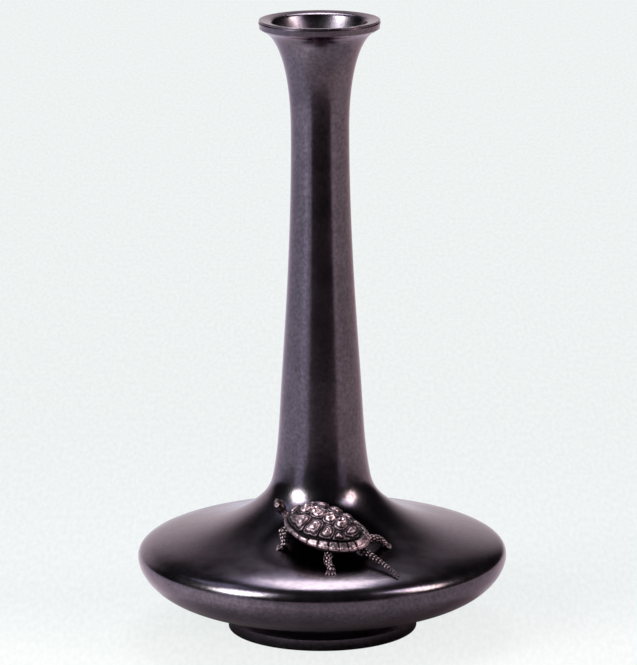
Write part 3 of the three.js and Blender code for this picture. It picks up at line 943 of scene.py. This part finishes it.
# The plates: those of the back are widest at their middles, and the edge plates are narrower
# towards the head.
back_seams = [16.0, 8.5, 1.2, -5.6, -11.8, -17.3]
back_seam_half = 4.2
back_plate_half = 5.2
last_seam_share = 0.7
side_seams = [(4.9, 5.4), (-2.2, -2.7), (-8.7, -10.2)]
side_seams_end = 0.88
front_seam_angle = 24
rear_seam_angle = 170
edge_plates = 11
edge_plates_from = 12
edge_plate_angle = 15
edge_plates_end = 1.02
edge_behind = 0.85
edge_ahead = 0.965
edge_blend = 0.012

# The chasing, in mm: cuts along the seams, growth rings, the steps of each plate with their rise and
# where they start and end, and the knobs on the keel.
seam_depth = 0.4
seam_width = 0.32
edge_seam_width = 0.6
corner_rounding = 1.8
ring_height = 0.2
ring_pitch = 1.15
first_ring = 0.4
rings_fade = (2.2, 2.8)
plate_steps = [(0.5, 0.2, 1.2), (0.55, 1.3, 1.9), (0.3, 1.9, 3.2)]
edge_plate_rise = 0.35
edge_plate_slope = (0.2, 0.9)
edge_rings_lost = 0.6
rim_rise = 0.4
rim_slope = (0.955, 0.985)
keel_rise = 0.3
keel_width = 0.7
keel_behind = (-19, -12)
keel_ahead = (12, 18)
nape_knob = 12.4
nape_knob_size = 0.9
keel_knobs = [7.4, -1.2, -7.8]
knob_foot = (1.6, 3.4)
knob_rise = 1.8
knob_radius = 1.75
knob_width = 0.8
knob_hollow = 0.5
knob_lean = 0.25
knob_core = 0.6

# How much a cloth rubs: a little everywhere, more on what stands high, on the rings and at the rim.
rubbed_low = 0.14
rubbed_by_height = 0.45
rubbed_rings = 0.8
rubbed_edge_plates = 0.26
rubbed_off_seam = (0.3, 0.9)
rubbed_rim = 0.3
rubbed_rim_slope = (0.965, 0.985)
rubbed_under = 0.2


def smoothstep(low, high, value):
    """From 0 to 1 between two limits, easing in and out."""
    share = np.clip((value - low) / (high - low), 0, 1)
    return share * share * (3 - 2 * share)


def swell(distance, width):
    """A rounded swelling of height 1 that falls away over this width."""
    return np.exp(-((distance / width) ** 2))


def oval(share, angles):
    """Points of an oval of the shell's plan, at a share of its full size."""
    return half_length * share * np.cos(angles), half_width * share * np.sin(angles)


def edge_share(angle):
    """How far out the edge plates begin, at an angle in degrees from the head."""
    return edge_behind + (edge_ahead - edge_behind) * smoothstep(-0.4, 0.5, np.cos(np.radians(angle)))


def edge_point(angle, share=None):
    """A point of the plan at an angle in degrees, where the edge plates begin or at a share."""
    return oval(edge_share(angle) if share is None else share, math.radians(angle))


def shell_seams():
    """The seams between the plates, as pairs of points of the plan."""
    seams = []
    for side in (1, -1):
        line = []
        for front, back in zip(back_seams, back_seams[1:]):
            line.append((front, back_seam_half * side))
            line.append(((front + back) / 2, back_plate_half * side))
        line.append((back_seams[-1], back_seam_half * last_seam_share * side))
        seams += list(zip(line, line[1:]))
        for inside, outside in side_seams:
            angle = math.degrees(math.acos(outside / half_length / side_seams_end))
            seams.append(((inside, back_plate_half * side), edge_point(angle * side)))
        seams.append((line[0], edge_point(front_seam_angle * side)))
        seams.append((line[-1], edge_point(rear_seam_angle * side)))
        for plate in range(edge_plates):
            angle = (edge_plates_from + edge_plate_angle * plate) * side
            seams.append((edge_point(angle), edge_point(angle, edge_plates_end)))
    for seam in back_seams:
        seams.append(((seam, -back_seam_half), (seam, back_seam_half)))
    return seams


def distances_to(points, seams):
    """How far each point of the plan is from each seam."""
    gaps = []
    for start, end in np.array(seams):
        along = end - start
        share = np.clip((points - start) @ along / (along @ along), 0, 1)
        gaps.append(np.linalg.norm(points - start - share[:, None] * along, axis=1))
    return np.array(gaps)


def keep_on_points(mesh, label, values):
    """Keeps a value, or a direction, for each point of a mesh."""
    kind, key = ("FLOAT", "value") if values.ndim == 1 else ("FLOAT_VECTOR", "vector")
    mesh.attributes.new(label, kind, "POINT").data.foreach_set(key, values.astype(np.float32).ravel())


def skin(name, rings, relief):
    """A closed mesh over rings of points, with a point to close each end. Its relief guides the finish."""
    count, sides = rings.shape[:2]
    first_middle = count * sides
    last_middle = first_middle + 1
    faces = []
    for row in range(count - 1):
        this_row = row * sides
        next_row = this_row + sides
        for side in range(sides):
            after = (side + 1) % sides
            faces.append((this_row + side, this_row + after, next_row + after, next_row + side))
    last_row = (count - 1) * sides
    for side in range(sides):
        after = (side + 1) % sides
        faces.append((first_middle, after, side))
        faces.append((last_middle, last_row + side, last_row + after))
    points = np.vstack([rings.reshape(-1, 3), rings[0].mean(0), rings[-1].mean(0)])
    mesh = bpy.data.meshes.new(name)
    mesh.from_pydata([tuple(p) for p in points], [], faces)
    shape = bmesh.new()
    shape.from_mesh(mesh)
    if shape.calc_volume(signed=True) < 0:
        bmesh.ops.reverse_faces(shape, faces=shape.faces)
    shape.to_mesh(mesh)
    shape.free()
    heights = np.concatenate([relief.reshape(-1), [relief[0].mean(), relief[-1].mean()]])
    keep_on_points(mesh, "relief", heights)
    mesh.shade_smooth()
    return mesh


def on_vase(mesh):
    """A mesh of the turtle's own millimetres, taken to its place on the vase in metres."""
    mesh.transform(turtle_to_vase)
    return put_in_scene(mesh.name, mesh)


def chased_plates(x, y, share, angle):
    """How far the chasing stands out of the dome, and how much of it a cloth rubs."""
    edge_from = edge_share(np.degrees(angle))
    edge_gap = np.abs(share - edge_from) * np.hypot(*oval(1, angle))
    plan = np.column_stack([x.ravel(), y.ravel()])
    gaps = np.vstack([distances_to(plan, shell_seams()), edge_gap.reshape(1, -1)])
    gap = gaps.min(0).reshape(share.shape)
    inwards = (-np.log(np.exp(-corner_rounding * gaps).sum(0)) / corner_rounding).reshape(share.shape)
    edge = smoothstep(edge_from - edge_blend, edge_from + edge_blend, share)
    seam_cut = -seam_depth * swell(gap, seam_width) - seam_depth * swell(edge_gap, edge_seam_width)
    rings = ring_height * np.cos(2 * math.pi * (inwards - first_ring) / ring_pitch)
    rings = rings * smoothstep(0, first_ring, inwards) * (1 - smoothstep(*rings_fade, inwards))
    steps = sum(rise * smoothstep(start, end, inwards) for rise, start, end in plate_steps)
    edge_plate = edge_plate_rise * smoothstep(*edge_plate_slope, gap) * edge
    rim = rim_rise * smoothstep(*rim_slope, share)
    keel = keel_rise * swell(y, keel_width) * smoothstep(*keel_behind, x) * (1 - smoothstep(*keel_ahead, x))
    height = seam_cut + rings * (1 - edge_rings_lost * edge) + steps * (1 - edge)
    height = height + edge_plate + rim + keel
    height = height + nape_knob_size * swell(np.hypot(x - nape_knob, y), nape_knob_size)
    for spot in keel_knobs:
        away = np.hypot(x - spot, y)
        leaning = 1 - knob_lean * (x - spot) / np.maximum(away, knob_core)
        crater = knob_rise * leaning * swell(away - knob_radius, knob_width)
        crater = crater - knob_hollow * swell(away, knob_width)
        height = height * smoothstep(*knob_foot, away) + crater
    relief = rubbed_low + rubbed_by_height * height + rubbed_rings * rings * (1 - edge)
    relief = relief + rubbed_edge_plates * edge * smoothstep(*rubbed_off_seam, gap)
    relief = relief + rubbed_rim * smoothstep(*rubbed_rim_slope, share)
    return height, np.clip(relief, 0, 1)


def carapace_mesh():
    """The shell: the chased dome outside, and a plain smaller dome inside, in rings round its middle."""
    angles = np.linspace(0, 2 * math.pi, shell_round, endpoint=False)
    shares = np.sin(np.linspace(0.5 / shell_rows, 1, shell_rows) * math.pi / 2)
    share, angle = np.meshgrid(shares, angles, indexing="ij")
    x, y = oval(share, angle)
    ahead = smoothstep(*dome_ahead, x)
    fullness = dome_fullness + dome_fullness_ahead * ahead
    roundness = dome_roundness - dome_roundness_lost_ahead * ahead
    crown = np.maximum(1 - share**fullness, 0) ** roundness
    rows = np.stack([x, y, rim_height + (dome_rise + dome_rise_ahead * ahead) * crown], axis=-1)
    along = np.gradient(rows, axis=0)
    around = np.roll(rows, -1, axis=1) - np.roll(rows, 1, axis=1)
    facing = np.cross(along, around)
    facing /= np.maximum(np.linalg.norm(facing, axis=-1, keepdims=True), 1e-9)
    height, relief = chased_plates(x, y, share, angle)
    rows = rows + facing * height[..., None]
    inside = [(size, rim_height + drop) for size, drop in inner_rim]
    for size in inner_rings:
        inner_crown = (1 - (size / inner_edge) ** dome_fullness) ** dome_roundness
        inside.append((size, inner_height + inner_rise * inner_crown))
    under = [np.column_stack([*oval(size, angles), np.full(shell_round, z)]) for size, z in inside]
    rows = np.concatenate([rows, np.array(under)])
    relief = np.concatenate([relief, np.full((len(under), shell_round), rubbed_under)])
    return skin("turtle_shell_casting", rows, relief)


# Chased and rubbed bronze: the same dark patina, worn back to the brown metal on everything that a
# cloth reaches. To the eye the hollows stay black and the knobs, plates and scales catch the light.
pit_width = 0.9 * mm
wear_width = 2.6 * mm
wear_share = 0.7
hollow_black = linear("#1A1517")
half_rubbed = linear("#6A5661")
bare_metal = linear("#A88D96")

rubbed_bronze = bpy.data.materials.new("rubbed_cast_bronze")
tree = empty_tree(rubbed_bronze)
here = add_node(tree, "ShaderNodeTexCoord").outputs["Object"]
pits = add_node(
    tree, "ShaderNodeTexNoise", {"Scale": 1 / pit_width, "Detail": 3, "Roughness": 0.65}, {"Vector": here}
)
wear = add_node(tree, "ShaderNodeTexNoise", {"Scale": 1 / wear_width, "Detail": 3}, {"Vector": here})
raised = add_node(tree, "ShaderNodeAttribute", {"attribute_name": "relief"})
uneven = add_node(
    tree, "ShaderNodeMath", {"operation": "MULTIPLY_ADD", 1: wear_share, 2: -wear_share / 2}, {0: wear}
)
reached = add_node(
    tree, "ShaderNodeMath", {"operation": "ADD", "use_clamp": True}, {0: raised.outputs["Fac"], 1: uneven}
)
rubbed = add_node(tree, "ShaderNodeValToRGB", None, {"Fac": reached})
rubbed.color_ramp.elements[0].position = 0.15
rubbed.color_ramp.elements[0].color = hollow_black
rubbed.color_ramp.elements[1].position = 0.85
rubbed.color_ramp.elements[1].color = bare_metal
rubbed.color_ramp.elements.new(0.45).color = half_rubbed
shine = add_node(tree, "ShaderNodeMapRange", {"To Min": 0.42, "To Max": 0.30}, {"Value": reached})
pit_relief = add_node(tree, "ShaderNodeBump", {"Strength": 1.0, "Distance": 0.16 * mm}, {"Height": pits})
metal = add_node(
    tree,
    "ShaderNodeBsdfPrincipled",
    {"Metallic": 1.0},
    {"Base Color": rubbed, "Roughness": shine, "Normal": pit_relief},
)
add_node(tree, "ShaderNodeOutputMaterial", None, {"Surface": metal})

shell = on_vase(carapace_mesh())
shell.data.materials.append(rubbed_bronze)
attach(shell, "root")
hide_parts("turtle_carapace")


# Turtle's underside: the flat plates below and the bridges that carry the shell, one small casting
# with the seams of the plates cut into it. Its rings are a share of the shell's plan and a height.
underside_rings = [(0.05, 2.4), (0.2, 2.4), (0.35, 2.4), (0.5, 2.45), (0.6, 2.6), (0.7, 3.1), (0.8, 3.8)]
underside_rings += [(0.88, 4.8), (0.93, 5.9), (0.94, 6.6), (0.93, 7.3), (0.8, 7.3), (0.4, 7.3)]
underside_seams = [((-14, 0), (14, 0)), ((8, -9), (8, 9)), ((3, -10), (3, 10))]
underside_seams += [((-3, -10), (-3, 10)), ((-9, -9), (-9, 9))]
underside_sides = 120
underside_cut = 0.35
underside_rubbed = 0.4
flat_below = 4


def underside_mesh():
    """The underside, with its seams cut where it is flat."""
    angles = np.linspace(0, 2 * math.pi, underside_sides, endpoint=False)
    rows = []
    relief = []
    for share, height in underside_rings:
        plan = np.column_stack(oval(share, angles))
        gap = distances_to(plan, underside_seams).min(0)
        cut = underside_cut * swell(gap, underside_cut) * (height < flat_below)
        rows.append(np.column_stack([plan, height + cut]))
        relief.append(underside_rubbed - cut)
    return skin("turtle_underside_casting", np.array(rows), np.array(relief))


underside = on_vase(underside_mesh())
underside.data.materials.append(rubbed_bronze)
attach(underside, "root")
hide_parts("turtle_body")


# Turtle's head: raised on a folded neck and looking up. It is cast with the neck, its eyes and mouth
# are cut with a graver, and a tenon lets it into the body.
def smooth_path(stations, between_steps=10):
    """Stations of place, half width and half height, with a smooth curve run through them."""
    rows = np.array(stations, float)
    rows = np.vstack([2 * rows[0] - rows[1], rows, 2 * rows[-1] - rows[-2]])
    made = []
    for index in range(1, len(rows) - 2):
        p0, p1, p2, p3 = rows[index - 1 : index + 3]
        bend = 2 * p0 - 5 * p1 + 4 * p2 - p3
        twist = 3 * p1 - p0 - 3 * p2 + p3
        for step in range(between_steps):
            t = step / between_steps
            made.append(0.5 * (2 * p1 + (p2 - p0) * t + bend * t**2 + twist * t**3))
    made.append(rows[-2])
    return np.array(made)


def limb_rings(stations, across, pitch, sides, shrink=0.0):
    """Rings of points round a path, the way it runs at each, each one's size and its place along it."""
    path = smooth_path(stations)
    steps = np.linalg.norm(np.diff(path[:, :3], axis=0), axis=1)
    lengths = np.concatenate([[0], np.cumsum(steps)])
    widest_half = path[:, 3].max()
    places = []
    place = 0.0
    while place < lengths[-1]:
        places.append(place)
        size = np.interp(place, lengths, path[:, 3]) / widest_half
        place += pitch * (1 - shrink * (1 - size))
    places.append(lengths[-1])
    rows = np.column_stack([np.interp(places, lengths, path[:, axis]) for axis in range(5)])
    along = np.gradient(rows[:, :3], axis=0)
    along /= np.linalg.norm(along, axis=1)[:, None]
    side = np.array(across, float) - along * (along @ np.array(across, float))[:, None]
    side /= np.linalg.norm(side, axis=1)[:, None]
    top = np.cross(along, side)
    turn = np.linspace(0, 2 * math.pi, sides, endpoint=False)
    spread = side[:, None] * np.cos(turn)[None, :, None] * rows[:, None, 3:4]
    lift = top[:, None] * np.sin(turn)[None, :, None] * rows[:, None, 4:5]
    return rows[:, None, :3] + spread + lift, along, rows[:, 3] / widest_half, np.array(places)


# Scales and claws: laid over a skin, each scale on its seat and lying towards the tip.
scaling_inputs = {
    "Skin": "Geometry",
    "Scale length": "Float",
    "Scale width": "Float",
    "Scale height": "Float",
    "Claw length": "Float",
    "Metal": "Material",
}
seated = 0.01
scale_tilt = math.radians(-9)
claw_slender = 0.27
claw_bend = -0.22
claw_rubbed = 0.95

scaling, given = new_group("scales_and_claws", scaling_inputs, "Scaled skin")
bare_skin = given.outputs["Skin"]
claw_length = given.outputs["Claw length"]
lie = add_node(scaling, "GeometryNodeInputNamedAttribute", {"data_type": "FLOAT_VECTOR", "Name": "lie"})
seat = add_node(scaling, "GeometryNodeInputNamedAttribute", {"data_type": "FLOAT", "Name": "scale_seat"})
claw_seat = add_node(scaling, "GeometryNodeInputNamedAttribute", {"data_type": "FLOAT", "Name": "claw_seat"})
has_scale = add_node(scaling, "FunctionNodeCompare", {"operation": "GREATER_THAN", 1: seated}, {0: seat})
has_claw = add_node(scaling, "FunctionNodeCompare", {"operation": "GREATER_THAN", 1: seated}, {0: claw_seat})
point_place = add_node(scaling, "GeometryNodeInputPosition")
point_axes = add_node(scaling, "ShaderNodeSeparateXYZ", None, {0: point_place})
outward = add_node(scaling, "GeometryNodeInputNormal")
stand_up = add_node(scaling, "FunctionNodeAlignRotationToVector", {"axis": "Z"}, {"Vector": outward})
lie_down = add_node(
    scaling,
    "FunctionNodeAlignRotationToVector",
    {"axis": "X", "pivot_axis": "Z"},
    {"Rotation": stand_up, "Vector": lie},
)
bead = add_node(scaling, "GeometryNodeMeshUVSphere", {"Segments": 8, "Rings": 5, "Radius": 0.5})
bead_size = add_node(
    scaling,
    "ShaderNodeCombineXYZ",
    None,
    {0: given.outputs["Scale length"], 1: given.outputs["Scale width"], 2: given.outputs["Scale height"]},
)
bead_relief = add_node(
    scaling, "ShaderNodeMapRange", {"From Min": 0.16, "From Max": 0.5}, {"Value": point_axes.outputs[2]}
)
bead_marked = add_node(
    scaling,
    "GeometryNodeStoreNamedAttribute",
    {"data_type": "FLOAT", "domain": "POINT", "Name": "relief"},
    {"Geometry": bead, "Value": bead_relief},
)
one_scale = add_node(
    scaling,
    "GeometryNodeTransform",
    {"Rotation": (0, scale_tilt, 0)},
    {"Geometry": bead_marked, "Scale": bead_size},
)
scales = add_node(
    scaling,
    "GeometryNodeInstanceOnPoints",
    None,
    {"Points": bare_skin, "Selection": has_scale, "Instance": one_scale, "Rotation": lie_down, "Scale": seat},
)
claw_radius = add_node(
    scaling, "ShaderNodeMath", {"operation": "MULTIPLY", 1: claw_slender}, {0: claw_length}
)
claw_cone = add_node(
    scaling,
    "GeometryNodeMeshCone",
    {"Vertices": 8, "Side Segments": 4, "Radius Top": 0.04},
    {"Radius Bottom": claw_radius, "Depth": claw_length},
)
claw_laid = add_node(
    scaling, "GeometryNodeTransform", {"Rotation": (0, math.pi / 2, 0)}, {"Geometry": claw_cone}
)
claw_square = add_node(scaling, "ShaderNodeMath", {"operation": "POWER", 1: 2.0}, {0: point_axes})
claw_drop = add_node(scaling, "ShaderNodeMath", {"operation": "MULTIPLY", 1: claw_bend}, {0: claw_square})
claw_offset = add_node(scaling, "ShaderNodeCombineXYZ", None, {2: claw_drop})
claw_bent = add_node(scaling, "GeometryNodeSetPosition", None, {"Geometry": claw_laid, "Offset": claw_offset})
claw_marked = add_node(
    scaling,
    "GeometryNodeStoreNamedAttribute",
    {"data_type": "FLOAT", "domain": "POINT", "Name": "relief", "Value": claw_rubbed},
    {"Geometry": claw_bent},
)
claw_ahead = add_node(scaling, "FunctionNodeAlignRotationToVector", {"axis": "X"}, {"Vector": lie})
claws = add_node(
    scaling,
    "GeometryNodeInstanceOnPoints",
    None,
    {
        "Points": bare_skin,
        "Selection": has_claw,
        "Instance": claw_marked,
        "Rotation": claw_ahead,
        "Scale": claw_seat,
    },
)
unclawed = add_node(
    scaling, "GeometryNodeDeleteGeometry", {"domain": "POINT"}, {"Geometry": bare_skin, "Selection": has_claw}
)
joined = add_node(scaling, "GeometryNodeJoinGeometry")
for branch in (unclawed, scales, claws):
    scaling.links.new(branch.outputs[0], joined.inputs[0])
end_group(scaling, joined, given.outputs["Metal"])


def scaled_piece(name, mesh, lies, seats, scale_size, claw_size=1.0, claws=()):
    """Lays scales on the seats of a skin, and claws on points of their own, and stands it on the vase."""
    skin_count = len(mesh.vertices)
    mesh.vertices.add(len(claws))
    for index, (point, _) in enumerate(claws):
        mesh.vertices[skin_count + index].co = point
    keep_on_points(mesh, "lie", np.vstack([lies, *[np.array(way)[None] for _, way in claws]]))
    keep_on_points(mesh, "scale_seat", np.concatenate([seats, np.zeros(len(claws))]))
    keep_on_points(mesh, "claw_seat", np.concatenate([np.zeros(skin_count), np.ones(len(claws))]))
    length, width, height = scale_size
    values = {"Scale length": length, "Scale width": width, "Scale height": height}
    piece = made_by(scaling, mesh, name, values | {"Claw length": claw_size, "Metal": rubbed_bronze})
    piece.data.transform(turtle_to_vase)
    return piece


def seat_rows(rings, along, sizes, every, first, last):
    """Seats for scales on the rings from first to last, in staggered rows, and the way that each lies."""
    count, sides = rings.shape[:2]
    seats = np.zeros((count, sides))
    for row, ring in enumerate(range(first, last, every)):
        seats[ring, row % 2 :: 2] = sizes[ring]
    lies = np.repeat(along[:, None], sides, axis=1)
    seats = np.concatenate([seats.ravel(), [0, 0]])
    lies = np.vstack([lies.reshape(-1, 3), along[0], along[-1]])
    return seats, lies


# The neck's stations are places with a half width and a half height; the skull's are places along
# its axis, from nape to nose, with the same two. All are in mm.
neck_stations = [(18.5, 0, 4.65, 1.9, 1.7), (20.9, 0, 5.0, 2.15, 2.0), (23.4, 0, 6.3, 2.05, 1.95)]
skull_stations = [(-3.3, 2.0, 1.9), (-2.2, 2.55, 2.3), (-0.7, 2.75, 2.5), (0.8, 2.5, 2.25)]
skull_stations += [(2.2, 1.9, 1.65), (3.3, 1.1, 1.0), (3.85, 0.4, 0.35)]
head_tilt = math.radians(48)
head_middle = np.array((28.3, 0.0, 11.0))
head_axis = np.array((math.cos(head_tilt), 0, math.sin(head_tilt)))
head_top = np.array((-head_axis[2], 0, head_axis[0]))
head_ring_pitch = 0.16
head_sides = 48
skull_from = 8.4
folds_from = (1.5, 3)
fold_depth = 0.22
fold_pitch = 1.5
fold_slant = 0.9
eye_along = 0.9
eye_aside = 2.0
eye_back = -0.5
eye_up = 0.75
eyeball_rise = 0.22
eyeball_width = 0.42
eye_groove_depth = 0.1
eye_groove_radius = 0.5
eye_groove_width = 0.12
eyelid_rise = 0.34
eyelid_radius = 0.85
eyelid_width = 0.3
mouth_depth = 0.3
mouth_width = 0.2
mouth_below = 0.55
mouth_rise = 0.12
mouth_corner = (-0.6, 0.4)
nape_scale_share = 0.9
head_rubbed_least = 0.03
head_rubbed_low = 0.22
head_rubbed_by_height = 1.8
rings_under_shell = 14
rubbed_under_shell = 0.6


def head_skin():
    """The skin of the neck and skull, folded, and cut for the eyes and the mouth, with its seats."""
    stations = list(neck_stations)
    for station, width, height in skull_stations:
        stations.append((*(head_middle + head_axis * station), width, height))
    rings, along, sizes, places = limb_rings(stations, (0, 1, 0), head_ring_pitch, head_sides)
    length = places[:, None]
    turn = np.linspace(0, 2 * math.pi, head_sides, endpoint=False)[None]
    height = fold_depth * np.sin(length * 2 * math.pi / fold_pitch + fold_slant * np.cos(turn))
    on_skull = smoothstep(skull_from - fold_pitch, skull_from, length)
    height = height * smoothstep(*folds_from, length) * (1 - on_skull)
    from_middle = rings - head_middle
    along_head = from_middle @ head_axis
    above_mouth = from_middle @ head_top + mouth_below - mouth_rise * along_head
    mouth_cut = mouth_depth * swell(above_mouth, mouth_width) * smoothstep(*mouth_corner, along_head)
    height = height - mouth_cut
    for side in (1, -1):
        eye = head_middle + head_axis * eye_along + np.array((eye_back, eye_aside * side, eye_up))
        away = np.linalg.norm(rings - eye, axis=-1)
        eyelid = eyelid_rise * swell(away - eyelid_radius, eyelid_width)
        eyelid = eyelid - eye_groove_depth * swell(away - eye_groove_radius, eye_groove_width)
        height = height + eyelid + eyeball_rise * swell(away, eyeball_width)
    facing = rings - rings.mean(1, keepdims=True)
    facing /= np.linalg.norm(facing, axis=-1, keepdims=True)
    rings = rings + facing * height[..., None]
    relief = np.clip(head_rubbed_low + head_rubbed_by_height * height, head_rubbed_least, 1)
    relief[:rings_under_shell] *= rubbed_under_shell
    seats, lies = seat_rows(rings, along, nape_scale_share * sizes, every=9, first=16, last=46)
    in_pairs = np.arange(len(seats)) % 4 < 2
    return skin("head", rings, relief), lies, seats * in_pairs


mesh, lies, seats = head_skin()
head = scaled_piece("turtle_head_casting", mesh, lies, seats, scale_size=(1.1, 0.9, 0.5))
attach(head, "root")
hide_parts("turtle_head")


# Turtle's tail: a long taper covered with rows of keeled scales, which follows the shoulder down.
# It is cast and chased, and let into the body by a tenon.
tail_root = (-19.0, 0.0, 5.3)
tail_length = 25.4
tail_swing = 3.4
tail_thick = 1.3
tail_thin = 0.4
tail_flatness = 0.92
tail_clearance = 0.55
tail_ring_pitch = 0.72
tail_sides = 12
tail_shrink = 0.4
between_scales = 0.05


def tail_stations():
    """Places along the tail with a half width and a half height, from its root to its tip."""
    stations = []
    for share in (0, 0.15, 0.35, 0.55, 0.75, 0.9, 1.0):
        x = tail_root[0] - tail_length * share
        y = tail_root[1] + tail_swing * share**2
        half = tail_thick + (tail_thin - tail_thick) * share
        resting = ground(x, y) + tail_clearance + half
        z = tail_root[2] + (resting - tail_root[2]) * share
        stations.append((x, y, z, half, half * tail_flatness))
    return stations


rings, along, sizes, _ = limb_rings(tail_stations(), (0, 1, 0), tail_ring_pitch, tail_sides, tail_shrink)
mesh = skin("tail", rings, np.full(rings.shape[:2], between_scales))
seats, lies = seat_rows(rings, along, sizes, every=3, first=2, last=len(rings) - 1)
tail = scaled_piece("turtle_tail_casting", mesh, lies, seats, scale_size=(2.5, 1.2, 1.6))
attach(tail, "root")
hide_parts("turtle_tail")


# Turtle's legs: each is cast whole, from the thigh under the shell to the clawed foot. Its tenon goes
# into the body, and a peg below the foot goes through the shoulder and is peened over a washer.
legs = {
    "front_left": dict(
        hip=40, knee=(19.6, 9.2, 4.9), foot=(17.3, 13.0), toes=30, foot_width=1.9, claw_count=5
    ),
    "front_right": dict(
        hip=-42, knee=(18.0, -11.8, 6.0), foot=(17.0, -14.0), toes=-30, foot_width=1.9, claw_count=5
    ),
    "rear_left": dict(
        hip=118, knee=(-11.8, 16.2, 3.6), foot=(-16.5, 20.1), toes=122, foot_width=2.5, claw_count=4
    ),
    "rear_right": dict(
        hip=-142, knee=(-19.8, -13.8, 4.2), foot=(-22.3, -19.0), toes=-146, foot_width=2.2, claw_count=4
    ),
}
hip_share = 0.94
thigh_share = 0.86
hip_height = 4.65
leg_ring_pitch = 0.6
leg_sides = 14
leg_shrink = 0.3
rings_in_foot = 6
foot_rubbed = 0.34
claw_reach = 1.5
claw_spread = 1.6
claw_fan = 1.1
claw_lift = 0.5
claw_dip = -0.3
leg_scale = (2.1, 1.25, 1.3)
leg_claw = 1.3


def leg_skin(name, hip, knee, foot, toes, foot_width, claw_count):
    """A leg's skin from thigh to toes, with the seats of its scales and of its claws."""
    hip_x, hip_y = edge_point(hip, hip_share)
    heading = math.radians(toes)
    toes_x = math.cos(heading)
    toes_y = math.sin(heading)
    stations = [
        (hip_x * thigh_share, hip_y * thigh_share, hip_height, 1.5, 1.4),
        (hip_x, hip_y, hip_height + 0.2, 1.7, 1.55),
        (*knee, 1.5, 1.35),
    ]
    foot_shape = [
        (-1.5, 0.9, 1.15, 1.05),
        (-0.3, 0.15, 0.8 * foot_width, 0.8),
        (0.9, 0.05, foot_width, 0.55),
        (1.6, 0.0, 0.8 * foot_width, 0.36),
    ]
    for ahead, lift, width, height in foot_shape:
        x = foot[0] + toes_x * ahead
        y = foot[1] + toes_y * ahead
        stations.append((x, y, ground(x, y) + height + lift, width, height))
    across = (-toes_y, toes_x, 0)
    rings, along, _, _ = limb_rings(stations, across, leg_ring_pitch, leg_sides, leg_shrink)
    relief = np.full(rings.shape[:2], between_scales)
    relief[-rings_in_foot:] = foot_rubbed
    full_size = np.ones(len(rings))
    seats, lies = seat_rows(rings, along, full_size, every=3, first=6, last=len(rings) - 3)
    claws = []
    for share in np.linspace(-0.5, 0.5, claw_count):
        aside = share * foot_width * claw_spread
        x = foot[0] + toes_x * claw_reach + across[0] * aside
        y = foot[1] + toes_y * claw_reach + across[1] * aside
        fan = heading + share * claw_fan
        claws.append(((x, y, ground(x, y) + claw_lift), (math.cos(fan), math.sin(fan), claw_dip)))
    return skin(name, rings, relief), lies, seats, claws


for name, leg in legs.items():
    mesh, lies, seats, claws = leg_skin(name, **leg)
    piece = scaled_piece(f"turtle_leg_{name}_casting", mesh, lies, seats, leg_scale, leg_claw, claws)
    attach(piece, "root")
    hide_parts("turtle_leg_" + name)
    finish_cad_node("leg_washer_" + name, cast_bronze)
